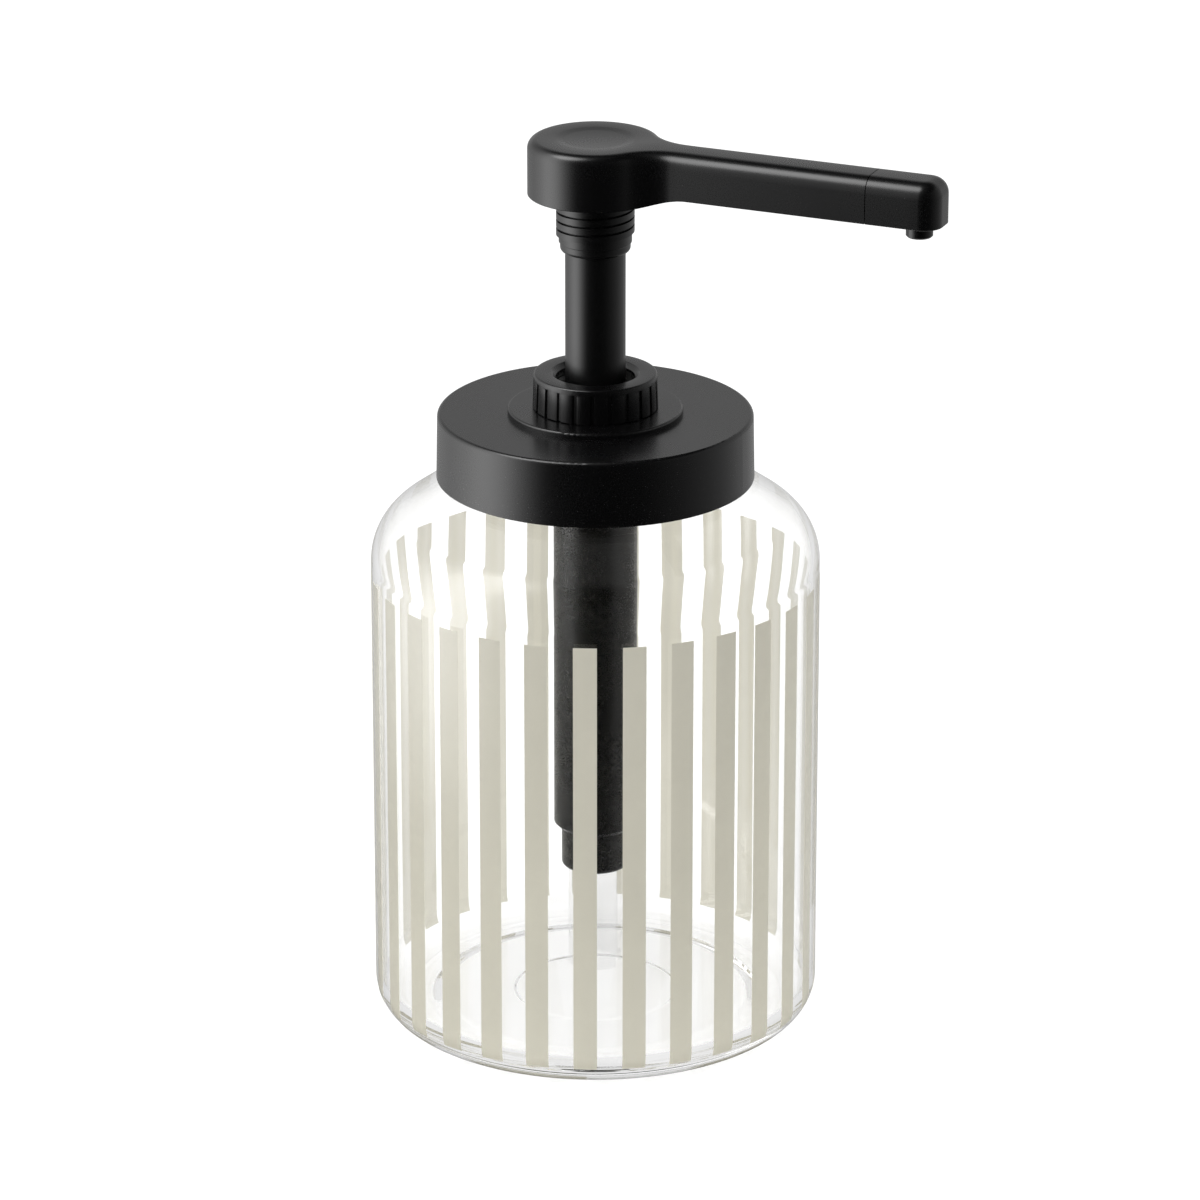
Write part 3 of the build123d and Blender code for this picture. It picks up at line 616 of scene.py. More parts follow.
class Draft:
    """Vertices and faces gathered before they become one object."""

    def __init__(self) -> None:
        """Start empty."""
        self.points: list[tuple[float, float, float]] = []
        self.faces: list[tuple[int, ...]] = []

    def add(self, points: Iterable[Sequence[float]]) -> list[int]:
        """Add points.

        Args:
            points: Their coordinates.

        Returns:
            Their numbers.
        """
        first = len(self.points)
        self.points += [(float(p[0]), float(p[1]), float(p[2])) for p in points]
        return list(range(first, len(self.points)))

    def band(self, lower: Sequence[int], upper: Sequence[int], closed: bool) -> None:
        """Join two rows of points with four-sided faces.

        Args:
            lower: The numbers of one row's points.
            upper: The numbers of the other's.
            closed: Whether each row's last point joins its first.
        """
        count = len(lower)
        for i in range(count if closed else count - 1):
            j = (i + 1) % count
            self.faces.append((lower[i], lower[j], upper[j], upper[i]))

    def bands(self, rows: Sequence[Sequence[int]], closed: bool) -> None:
        """Join each row of points to the next."""
        for lower, upper in zip(rows, rows[1:]):
            self.band(lower, upper, closed)

    def lathe(self, profile: Sequence[Point2], angles: Sequence[float], closed_profile: bool,
              swell: Callable[[float, float, float], float] | None = None) -> None:
        """Turn a profile round the Z axis.

        Args:
            profile: (radius, height) points; a radius of 0 makes a pole.
            angles: The angles of the columns, in radians, all the way round.
            closed_profile: Whether the last point joins the first.
            swell: An optional change of radius from the radius, height and angle.
        """
        rows: list[list[int]] = []
        for radius, height in profile:
            if radius <= SAME_PLACE:
                rows.append(self.add([(0, 0, height)]))
                continue
            rows.append(self.add(
                (*polar(radius + (swell(radius, height, angle) if swell else 0.0), angle), height)
                for angle in angles
            ))
        if closed_profile:
            rows.append(rows[0])
        for low, high in zip(rows, rows[1:]):
            if len(low) == 1 and len(high) > 1:
                self.faces += [(low[0], high[(i + 1) % len(high)], high[i]) for i in range(len(high))]
            elif len(high) == 1 and len(low) > 1:
                self.faces += [(low[i], low[(i + 1) % len(low)], high[0]) for i in range(len(low))]
            elif len(low) > 1:
                self.band(low, high, closed=True)

    def build(self, name: str, finish: Finish, sharp: float = 35.0) -> Piece:
        """Make the object, merged, facing outwards and shaded smooth.

        Args:
            name: The object's name.
            finish: Its finish.
            sharp: The angle in degrees above which an edge stays sharp.

        Returns:
            The object, linked to the scene.
        """
        mesh = bpy.data.meshes.new(name)
        mesh.from_pydata(self.points, [], self.faces)
        faced_out(mesh, merge=1e-7)
        return linked(name, mesh, finish, sharp)


# Geometry node trees


class SolidTree:
    """A geometry node tree whose result becomes a plain object with one finish."""

    name: str
    inputs: dict[str, str]

    def __init__(self) -> None:
        """Build the tree round the nodes of its kind."""
        self.tree = bpy.data.node_groups.new(self.name, "GeometryNodeTree")
        face = self.tree.interface
        face.new_socket("Geometry", in_out="INPUT", socket_type="NodeSocketGeometry")
        self.sockets = {
            name: face.new_socket(name, in_out="INPUT", socket_type="NodeSocket" + kind).identifier
            for name, kind in {**self.inputs, "Finish": "Material"}.items()
        }
        face.new_socket("Geometry", in_out="OUTPUT", socket_type="NodeSocketGeometry")
        graph = Graph(self.tree)
        given = graph.node("NodeGroupInput").outputs
        take = {name: Val(graph, given[name]) for name in self.inputs}
        solid = self.solid(graph, given["Geometry"], take)
        dress = {"Geometry": solid, "Material": given["Finish"]}
        dressed = graph.node("GeometryNodeSetMaterial", {}, dress)
        graph.node("NodeGroupOutput", {}, {0: dressed.outputs[0]})

    def solid(self, graph: Graph, geometry: Socket, take: dict[str, Val]) -> Socket:
        """Add the nodes that make the mesh.

        Args:
            graph: The tree's graph.
            geometry: The mesh that the tree is run on.
            take: The tree's inputs by name.

        Returns:
            The output that holds the mesh.
        """
        raise NotImplementedError

    def baked(self, piece: Piece, values: dict[str, Any], name: str, finish: Finish, sharp: float) -> Piece:
        """Run the tree on a piece and keep only the plain result.

        Args:
            piece: The piece that the tree starts from, which is deleted.
            values: The values of the tree's inputs by name.
            name: The new object's name.
            finish: Its finish.
            sharp: The angle in degrees above which an edge stays sharp.

        Returns:
            The new object.
        """
        modifier = piece.modifiers.new(name, "NODES")
        modifier.node_group = self.tree
        for key, value in {**values, "Finish": finish.material()}.items():
            modifier[self.sockets[key]] = value
        bpy.context.view_layer.update()
        graph = bpy.context.evaluated_depsgraph_get()
        mesh = bpy.data.meshes.new_from_object(piece.evaluated_get(graph))
        mesh.name = name
        piece.modifiers.remove(modifier)
        dropped(piece)
        faced_out(mesh)
        return linked(name, mesh, finish, sharp)


class RoundRepeat(SolidTree):
    """Repeats a mesh round the Z axis and merges what touches."""

    name = "round_repeat"
    inputs = {"Count": "Int", "First Turn": "Float", "Merge Gap": "Float"}

    def solid(self, graph: Graph, geometry: Socket, take: dict[str, Val]) -> Socket:
        """Put a turned copy on each of as many points at the axis, and make them real.

        Args:
            graph: The tree's graph.
            geometry: The mesh that is repeated.
            take: The tree's inputs by name.

        Returns:
            The merged copies.
        """
        line = {"Count": take["Count"], "Offset": (0.0, 0.0, 0.0)}
        points = graph.value("GeometryNodeMeshLine", 0, {}, line)
        turn = graph.value("GeometryNodeInputIndex") * (2 * math.pi) / take["Count"] + take["First Turn"]
        rotation = graph.value("FunctionNodeEulerToRotation", 0, {}, {0: graph.upward(turn)})
        placing = {"Points": points, "Instance": geometry, "Rotation": rotation}
        copies = graph.value("GeometryNodeInstanceOnPoints", 0, {}, placing)
        real = graph.value("GeometryNodeRealizeInstances", 0, {}, {0: copies})
        merging = {"Geometry": real, "Distance": take["Merge Gap"]}
        return graph.node("GeometryNodeMergeByDistance", {}, merging).outputs[0]

    def apply(self, piece: Piece, name: str, finish: Finish, count: int, first: float, gap: float,
              sharp: float = 35.0) -> Piece:
        """Repeat a piece and turn the result into a plain object.

        Args:
            piece: The piece to repeat, which is deleted.
            name: The new object's name.
            finish: Its finish.
            count: How many copies.
            first: The first copy's turn in degrees.
            gap: Points closer than this are merged.
            sharp: The angle in degrees above which an edge stays sharp.

        Returns:
            The new object.
        """
        values = {"Count": count, "First Turn": math.radians(first), "Merge Gap": gap}
        return self.baked(piece, values, name, finish, sharp)


@dataclass(frozen=True)
class Screw:
    """The sizes of a screw thread; a thread that points inwards has a negative depth."""

    turns: float
    radius: float
    rise: float
    bottom: float
    start: float
    foot: float
    crest: float
    depth: float


class CoiledThread(SolidTree):
    """Sweeps a screw thread's section along a spiral, thinner at both ends."""

    name = "coiled_thread"
    inputs = dict.fromkeys(
        ("Turns", "Radius", "Rise", "Bottom", "First Turn", "Foot", "Crest", "Depth"), "Float"
    )
    points_per_turn = 96
    tapers_per_turn = 20.0
    thinnest = 0.05

    def solid(self, graph: Graph, geometry: Socket, take: dict[str, Val]) -> Socket:
        """Wind the spiral, stand it on its start and sweep the section along it.

        Args:
            graph: The tree's graph.
            geometry: Not used, because the thread is all new.
            take: The tree's inputs by name.

        Returns:
            The thread's mesh.
        """
        spiral = graph.value("GeometryNodeCurveSpiral", 0, {}, {
            "Resolution": self.points_per_turn, "Rotations": take["Turns"], "Start Radius": take["Radius"],
            "End Radius": take["Radius"], "Height": take["Rise"], "Reverse": True,
        })
        rotation = graph.value("FunctionNodeEulerToRotation", 0, {}, {0: graph.upward(take["First Turn"])})
        standing = {"Geometry": spiral, "Translation": graph.upward(take["Bottom"]), "Rotation": rotation}
        turned = graph.value("GeometryNodeTransform", 0, {}, standing)
        upright = graph.value("GeometryNodeSetCurveNormal", 0, {"mode": "Z_UP"}, {"Curve": turned})
        share = graph.value("GeometryNodeSplineParameter")
        start = share * take["Turns"] * self.tapers_per_turn
        end = (1.0 - share) * take["Turns"] * self.tapers_per_turn
        taper = start.lowest(end).lowest(1.0).highest(self.thinnest)
        thin = graph.value("GeometryNodeSetCurveRadius", 0, {}, {"Curve": upright, "Radius": taper})
        section = graph.value("GeometryNodeCurvePrimitiveQuadrilateral", 0, {"mode": "TRAPEZOID"}, {
            "Height": take["Depth"], "Bottom Width": take["Foot"], "Top Width": take["Crest"], "Offset": 0.0,
        })
        laid = {"Geometry": section, "Rotation": (0.0, 0.0, math.pi / 2)}
        outwards = graph.value("GeometryNodeTransform", 0, {}, laid)
        sweep = {"Curve": thin, "Profile Curve": outwards, "Fill Caps": True, "Scale": taper}
        return graph.node("GeometryNodeCurveToMesh", {}, sweep).outputs[0]

    def make(self, name: str, finish: Finish, screw: Screw) -> Piece:
        """Make a thread as a plain object.

        Args:
            name: The object's name.
            finish: Its finish.
            screw: Its sizes.

        Returns:
            The thread.
        """
        seed = bpy.data.objects.new(name + "_seed", bpy.data.meshes.new(name + "_seed"))
        bpy.context.scene.collection.objects.link(seed)
        values = {
            "Turns": screw.turns, "Radius": screw.radius, "Rise": screw.rise, "Bottom": screw.bottom,
            "First Turn": math.radians(screw.start), "Foot": screw.foot, "Crest": screw.crest,
            "Depth": screw.depth,
        }
        return self.baked(seed, values, name, finish, sharp=30.0)


# The jar


@dataclass
class GlassJar:
    """The jar: its glass with the neck's screw threads, and the stripes printed on it."""

    radius: float = 52.5 * MM
    wall: float = 2.0 * MM
    base_round: float = 8.4 * MM
    inner_base_round: float = 6.0 * MM
    floor: float = 4.6 * MM
    pushup: float = 1.6 * MM
    foot_width: float = 5.0 * MM
    foot_rounds: tuple[float, ...] = (0.4 * MM, 0.4 * MM, 2.5 * MM, 0.8 * MM)
    ring_radius: float = 19.0 * MM
    ring_depth: float = 0.5 * MM
    body_height: float = 113.2 * MM
    shoulder_round: float = 14.3 * MM
    shoulder_angle: float = 55.0
    neck_radius: float = 33.0 * MM
    neck_wall: float = 2.8 * MM
    neck_height: float = 10.9 * MM
    neck_round: float = 2.0 * MM
    rim_round: float = 1.1 * MM
    thread_starts: int = 4
    thread_lead: float = 12.0 * MM
    thread_sweep: float = 100.0
    thread_fade: float = 6.0
    thread_depth: float = 1.6 * MM
    thread_foot: float = 2.6 * MM
    thread_crest: float = 1.0 * MM
    thread_rise: float = 2.9 * MM
    thread_row: float = 0.25 * MM
    stripe_count: int = 29
    stripe_share: float = 0.48
    stripe_columns: int = 6
    stripe_base_rows: int = 7
    stripe_phase: float = 5.0
    stripe_low: float = 5.4 * MM
    stripe_top_margin: float = 2.8 * MM
    print_gap: float = 0.02 * MM
    print_thickness: float = 0.05 * MM

    @property
    def slope(self) -> float:
        """The rise of the shoulder's straight part for each metre inwards."""
        return 1 / math.tan(math.radians(self.shoulder_angle))

    def shoulder_corner(self, rounding: float) -> float:
        """The height at which the wall and the shoulder would meet without their rounding."""
        return self.body_height + rounding * math.tan(math.radians(self.shoulder_angle / 2))

    @property
    def neck_corner(self) -> float:
        """The height at which the shoulder meets the neck."""
        return self.shoulder_corner(self.shoulder_round) + (self.radius - self.neck_radius) * self.slope

    @property
    def columns(self) -> list[float]:
        """The angles of the mesh's columns, as fine as the columns of the stripes."""
        return spin_angles(self.stripe_count * self.stripe_columns * 2, self.stripe_phase)

    def thread(self, radius: float, height: float, angle: float) -> float:
        """How far the neck's threads stand out at a place on the glass.

        Args:
            radius: The place's distance from the axis.
            height: Its height.
            angle: Its angle in radians.

        Returns:
            The addition to the radius, which is 0 away from the outside of the neck.
        """
        on_neck = self.neck_corner < height < self.neck_corner + self.neck_height
        if abs(radius - self.neck_radius) > TINY or not on_neck:
            return 0.0
        best = 0.0
        for start in range(self.thread_starts):
            past = (math.degrees(angle) - start * 360.0 / self.thread_starts) % 360.0
            if past > self.thread_sweep:
                continue
            centre = self.neck_corner + self.thread_rise + self.thread_lead * past / 360.0
            off = abs(height - centre)
            flank = (self.thread_foot / 2 - off) / (self.thread_foot / 2 - self.thread_crest / 2)
            fade = held(min(past, self.thread_sweep - past) / self.thread_fade)
            best = max(best, self.thread_depth * held(flank) * fade)
        return best

    def profile(self) -> list[Point2]:
        """The section of the glass from the underside's centre, up the outside and down the inside.

        Returns:
            (radius, height) points.
        """
        foot_outer = self.radius - self.base_round
        foot_inner = foot_outer - self.foot_width
        ring_top = self.pushup + self.ring_depth
        rim = self.neck_corner + self.neck_height
        inner_round = self.shoulder_round - self.wall
        inner_radius = self.radius - self.wall
        bore = self.neck_radius - self.neck_wall
        inner_corner = self.shoulder_corner(inner_round)
        inner_neck = inner_corner + (inner_radius - bore) * self.slope
        neck_rows = [
            (self.neck_radius, self.neck_corner + self.neck_round + i * self.thread_row)
            for i in range(int((self.neck_height - self.neck_round - self.rim_round) / self.thread_row))
        ]
        under = rounded(
            [(0, ring_top), (self.ring_radius, ring_top), (self.ring_radius + self.ring_depth, self.pushup),
             (foot_inner - 2 * self.pushup, self.pushup), (foot_inner, 0), (foot_outer, 0)],
            self.foot_rounds, step=10,
        )
        outside = rounded(
            [(foot_outer, 0), (self.radius, 0), (self.radius, self.shoulder_corner(self.shoulder_round)),
             (self.neck_radius, self.neck_corner),
             (self.neck_radius, self.neck_corner + self.neck_height / 2)],
            [self.base_round, self.shoulder_round, self.neck_round], step=3,
        )[1:-1]
        inside = rounded(
            [neck_rows[-1], (self.neck_radius, rim), (bore, rim), (bore, inner_neck),
             (inner_radius, inner_corner), (inner_radius, self.floor), (0, self.floor)],
            [self.rim_round, self.rim_round, self.neck_round, inner_round, self.inner_base_round], step=3,
        )[1:]
        outside, inside = (eased(line, margin=0.5 * MM, longest=30 * MM) for line in (outside, inside))
        return eased(under, margin=0.8 * MM, longest=12 * MM) + outside + neck_rows + inside

    def stripe(self) -> Piece:
        """One stripe, a thin closed skin that starts on the rounding of the base.

        Returns:
            The stripe, at the angle 0.
        """
        centre = self.radius - self.base_round
        start = math.asin((self.base_round - self.stripe_low) / self.base_round)
        bends = [start * (1 - i / self.stripe_base_rows) for i in range(self.stripe_base_rows + 1)]
        width = 2 * math.pi / self.stripe_count * self.stripe_share
        across = [width * (i / self.stripe_columns - 0.5) for i in range(self.stripe_columns + 1)]
        draft = Draft()
        skins = []
        for reach in (self.print_gap, self.print_gap + self.print_thickness):
            curve = self.base_round + reach
            line = [
                (centre + curve * math.cos(bend), self.base_round - curve * math.sin(bend)) for bend in bends
            ] + [(centre + curve, self.body_height - self.stripe_top_margin)]
            rows = [draft.add((*polar(radius, a), height) for a in across) for radius, height in line]
            skins.append(rows)
            draft.bands(rows, closed=False)
        inner, outer = skins
        draft.band(inner[0], outer[0], closed=False)
        draft.band(inner[-1], outer[-1], closed=False)
        draft.band([row[0] for row in inner], [row[0] for row in outer], closed=False)
        draft.band([row[-1] for row in inner], [row[-1] for row in outer], closed=False)
        return draft.build("one_stripe", Finish.INK)

    def build(self, repeat: RoundRepeat) -> None:
        """Build the glass and the stripes, and put them on the jar's body.

        Args:
            repeat: The tree that repeats the stripe.
        """
        draft = Draft()
        draft.lathe(self.profile(), self.columns, closed_profile=False, swell=self.thread)
        glass = draft.build("jar_glass", Finish.GLASS, sharp=60.0)
        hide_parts("glass_jar")
        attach(glass, "jar")
        stripes = repeat.apply(
            self.stripe(), "stripe_print", Finish.INK, self.stripe_count, self.stripe_phase, gap=1e-8
        )
        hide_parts("printed_stripes")
        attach(stripes, "jar")
        LOG.info("jar: %d faces of glass, %d of print", len(glass.data.polygons), len(stripes.data.polygons))


# The head


@dataclass
class PumpHead:
    """The head with its arm and lock plug, and the spout end behind its seam."""

    radius: float = 15.63 * MM
    bottom: float = 201.998 * MM
    height: float = 13.2 * MM
    head_round: float = 2.3 * MM
    foot_round: float = 0.15 * MM
    arm_half_width: float = 6.0 * MM
    arm_height: float = 10.7 * MM
    arm_round: float = 3.7 * MM
    arm_blend: float = 12.0 * MM
    round_start: float = 6.0 * MM
    round_length: float = 18.0 * MM
    reach: float = 79.2 * MM
    ramp_start: float = 11.5 * MM
    ramp_length: float = 13.0 * MM
    seam: float = 68.1 * MM
    seam_gap: float = 0.2 * MM
    core_wall: float = 2.2 * MM
    core_depth: float = 7.5 * MM
    boss_radius: float = 10.7 * MM
    dish_outer: float = 9.4 * MM
    dish_inner: float = 7.2 * MM
    dish_depth: float = 0.3 * MM
    plug_radius: float = 8.15 * MM
    plug_root: float = 8.45 * MM
    plug_bottom: float = 188.35 * MM
    plug_pilot: float = 2.25 * MM
    plug_rounds: tuple[float, ...] = (1.08 * MM, 0.15 * MM, 0.15 * MM, 0.0)
    plug_sunk: float = 1.0 * MM
    socket_radius: float = 7.03 * MM
    thread_rise: float = 8.5 * MM
    thread_pitch: float = 2.0 * MM
    thread_margin: float = 2.0 * MM
    thread_start: float = 135.0
    thread_foot: float = 1.45 * MM
    thread_crest: float = 0.9 * MM
    thread_depth: float = 0.6 * MM
    end_round: float = 4.5 * MM
    pocket_radius: float = 2.65 * MM
    pocket_height: float = 3.3 * MM
    arm_steps: int = 30
    blend_steps: int = 20
    head_steps: int = 60
    head_edge_steps: int = 12
    hollow_steps: int = 60
    dish_rings: int = 6
    dish_columns: int = 96
    plug_columns: int = 128
    cap_steps: int = 8
    cap_corner_steps: int = 24
    cap_edge_steps: int = 14
    pocket_columns: int = 48

    @property
    def top(self) -> float:
        """The height of the flat top."""
        return self.bottom + self.height

    def underside(self, x: float) -> float:
        """The height of the underside along the arm: flat, an S-shaped ramp, then flat again."""
        share = smooth_step((x - self.ramp_start) / self.ramp_length)
        return self.bottom + (self.height - self.arm_height) * share

    def edge_round(self, x: float) -> float:
        """The top edge's radius: small on the head, larger along the arm."""
        share = smooth_step((x - self.round_start) / self.round_length)
        return self.head_round + (self.arm_round - self.head_round) * share

    def outline(self) -> Outline:
        """The head's outline from the seam round the head and back to the seam.

        Returns:
            Points and outward normals.
        """
        side = self.arm_half_width + self.arm_blend
        reach = math.sqrt((self.radius + self.arm_blend) ** 2 - side ** 2)
        turn = math.atan2(side, reach)
        along = spread(self.seam, reach, self.arm_steps)[:-1]
        half = [(Vector((x, self.arm_half_width)), Vector((0, 1))) for x in along]
        for angle in spread(-math.pi / 2, turn - math.pi, self.blend_steps)[:-1]:
            spoke = Vector(polar(1.0, angle))
            half.append((Vector((reach, side)) + spoke * self.arm_blend, -spoke))
        for angle in spread(turn, math.pi, self.head_steps):
            spoke = Vector(polar(1.0, angle))
            half.append((spoke * self.radius, spoke))
        return half + [(Vector((p.x, -p.y)), Vector((n.x, -n.y))) for p, n in reversed(half[:-1])]

    def cap_outline(self) -> Outline:
        """The spout end's outline from the seam round the tip and back.

        Returns:
            Points and outward normals.
        """
        along = spread(self.seam + self.seam_gap, self.reach, self.cap_steps)[:-1]
        line = [(Vector((x, -self.arm_half_width)), Vector((0, -1))) for x in along]
        flat = self.arm_half_width - self.end_round
        for side, first in ((-1, -90), (1, 0)):
            for angle in spread(first, first + 90, self.cap_corner_steps):
                spoke = Vector(polar(1.0, math.radians(angle)))
                line.append((Vector((self.reach + flat, flat * side)) + spoke * self.end_round, spoke))
        return line + [(Vector((x, self.arm_half_width)), Vector((0, 1))) for x in reversed(along)]

    def shell(self, draft: Draft, outline: Outline, steps: int) -> tuple[list[int], list[int]]:
        """Raise the walls and the rounded top edge of an outline that is open at the seam.

        Args:
            draft: Where the faces go.
            outline: Points and outward normals.
            steps: How many bands the top edge's rounding has.

        Returns:
            The numbers of the lowest and the highest row.
        """
        foot = self.foot_round
        rows = [
            draft.add((p.x - n.x * foot, p.y - n.y * foot, self.underside(p.x)) for p, n in outline),
            draft.add((p.x, p.y, self.underside(p.x) + foot) for p, n in outline),
        ]
        for angle in spread(0.0, math.pi / 2, steps):
            row = []
            for p, n in outline:
                size = self.edge_round(p.x)
                inset = size * (1 - math.cos(angle))
                row.append((p.x - n.x * inset, p.y - n.y * inset, self.top - size * (1 - math.sin(angle))))
            rows.append(draft.add(row))
        draft.bands(rows, closed=False)
        draft.faces.append(tuple([row[0] for row in rows] + [row[-1] for row in reversed(rows)]))
        return rows[0], rows[-1]

    @staticmethod
    def fill(draft: Draft, border: Sequence[int], inner: Sequence[Sequence[Point2]],
             height: Callable[[float, float], float],
             skip: Callable[[float, float], bool]) -> list[list[int]]:
        """Fill a border with triangles that keep to some inner lines.

        Args:
            draft: Where the faces go.
            border: Numbers of the border's points.
            inner: Closed inner lines as (x, y) points.
            height: The height at a place.
            skip: Says of a face's centre whether the face is left out.

        Returns:
            The numbers of each inner line's points.
        """
        numbers = list(border)
        edges = [(i, (i + 1) % len(border)) for i in range(len(border))]
        loops = []
        for line in inner:
            first = len(numbers)
            loops.append(draft.add((x, y, height(x, y)) for x, y in line))
            numbers += loops[-1]
            edges += [(first + i, first + (i + 1) % len(line)) for i in range(len(line))]
        flat = [Vector(draft.points[n][:2]) for n in numbers]
        inside_only = 1
        _, _, faces, origin, _, _ = delaunay_2d_cdt(flat, edges, [], inside_only, SAME_PLACE)
        for face in faces:
            ids = [numbers[origin[v][0]] for v in face]
            middle = sum((Vector(draft.points[n][:2]) for n in ids), Vector((0, 0))) / len(ids)
            if not skip(middle.x, middle.y):
                draft.faces.append(tuple(ids))
        return loops

    def core(self, draft: Draft, border: Sequence[int]) -> None:
        """Close the underside of the head and sink the hollow round its boss.

        Args:
            draft: Where the faces go.
            border: Numbers of the underside's outline.
        """
        outer = self.radius - self.core_wall
        inner = self.boss_radius
        rib = self.arm_half_width

        def around(radius: float, way: int) -> list[Point2]:
            """Points round the axis, one way or the other, that leave out the rib below the arm.

            Args:
                radius: Their distance from the axis.
                way: 1 to turn left and -1 to turn right.

            Returns:
                (x, y) points.
            """
            gap = math.asin(rib / radius)
            steps = range(self.hollow_steps + 1)
            turns = [gap + (2 * math.pi - 2 * gap) * i / self.hollow_steps for i in steps]
            return [polar(radius, way * turn) for turn in turns]

        def hollow(x: float, y: float) -> bool:
            """Whether a place lies in the hollow."""
            return inner < math.hypot(x, y) < outer and not (x > 0 and abs(y) < rib)

        def floor(x: float, y: float) -> float:
            """The height of the underside at a place."""
            return self.underside(x) if math.hypot(x, y) > outer + 10 * TINY else self.bottom

        line = around(outer, 1) + around(inner, -1)
        roof_height = self.bottom + self.core_depth
        loops = self.fill(draft, border, [line], floor, hollow)
        roof = draft.add((x, y, roof_height) for x, y in line)
        draft.band(loops[0], roof, closed=True)
        self.fill(draft, roof, [], lambda x, y: roof_height, lambda x, y: not hollow(x, y))

    def build_head(self) -> Piece:
        """Build the head with its dished top and its arm.

        Returns:
            The head.
        """
        draft = Draft()
        low, high = self.shell(draft, self.outline(), self.head_edge_steps)

        def dish(x: float, y: float) -> float:
            """The height of the top at a place."""
            share = (self.dish_outer - math.hypot(x, y)) / (self.dish_outer - self.dish_inner)
            return self.top - self.dish_depth * held(share)

        circles = [
            [polar(radius, angle) for angle in spin_angles(self.dish_columns)]
            for radius in spread(self.dish_outer, self.dish_inner, self.dish_rings)
        ]
        self.fill(draft, high, circles, dish, lambda x, y: False)
        self.core(draft, low)
        return draft.build("head_form", Finish.SATIN_BLACK)

    def build_plug(self, threads: CoiledThread) -> Piece:
        """Build the lock plug below the head.

        Args:
            threads: The tree that coils its thread.

        Returns:
            The plug.
        """
        pilot_top = self.plug_bottom + self.plug_pilot
        top = self.bottom + self.plug_sunk
        plug = Draft()
        plug.lathe(
            rounded(
                [(self.socket_radius, self.plug_bottom), (self.plug_radius, self.plug_bottom),
                 (self.plug_radius, pilot_top), (self.plug_root, pilot_top), (self.plug_root, top),
                 (self.socket_radius, top)],
                self.plug_rounds, step=10,
            ),
            spin_angles(self.plug_columns), closed_profile=True,
        )
        core = plug.build("plug_core", Finish.SMOOTH_BLACK)
        coil = threads.make("plug_thread", Finish.SMOOTH_BLACK, Screw(
            turns=self.thread_rise / self.thread_pitch, radius=self.plug_root + self.thread_depth / 2,
            rise=self.thread_rise, bottom=pilot_top + self.thread_margin, start=self.thread_start,
            foot=self.thread_foot, crest=self.thread_crest, depth=self.thread_depth,
        ))
        return joined("lock_plug", [core, coil], Finish.SMOOTH_BLACK, sharp=30.0)

    def build_cap(self) -> Piece:
        """Build the spout end with the pocket for its nozzle.

        Returns:
            The spout end.
        """
        draft = Draft()
        low, high = self.shell(draft, self.cap_outline(), self.cap_edge_steps)
        self.fill(draft, high, [], lambda x, y: self.top, lambda x, y: False)
        level = self.top - self.arm_height
        circle = [polar(self.pocket_radius, angle) for angle in spin_angles(self.pocket_columns)]
        ring = [(self.reach + x, y) for x, y in circle]
        loops = self.fill(draft, low, [ring], lambda x, y: level,
                          lambda x, y: math.hypot(x - self.reach, y) < self.pocket_radius)
        roof = draft.add((x, y, level + self.pocket_height) for x, y in ring)
        draft.band(loops[0], roof, closed=True)
        draft.faces.append(tuple(roof))
        return draft.build("spout_cap_form", Finish.SATIN_BLACK)

    def build(self, threads: CoiledThread) -> None:
        """Build the head, the lock plug and the spout end, and put them on the plunger's body.

        Args:
            threads: The tree that coils the lock thread.
        """
        head = self.build_head()
        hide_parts("pump_head")
        plug = self.build_plug(threads)
        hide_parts("pump_head")
        cap = self.build_cap()
        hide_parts("spout_end")
        for piece in (head, plug, cap):
            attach(piece, "plunger")
            LOG.info("%s: %d faces", piece.name, len(piece.data.polygons))


# The collar


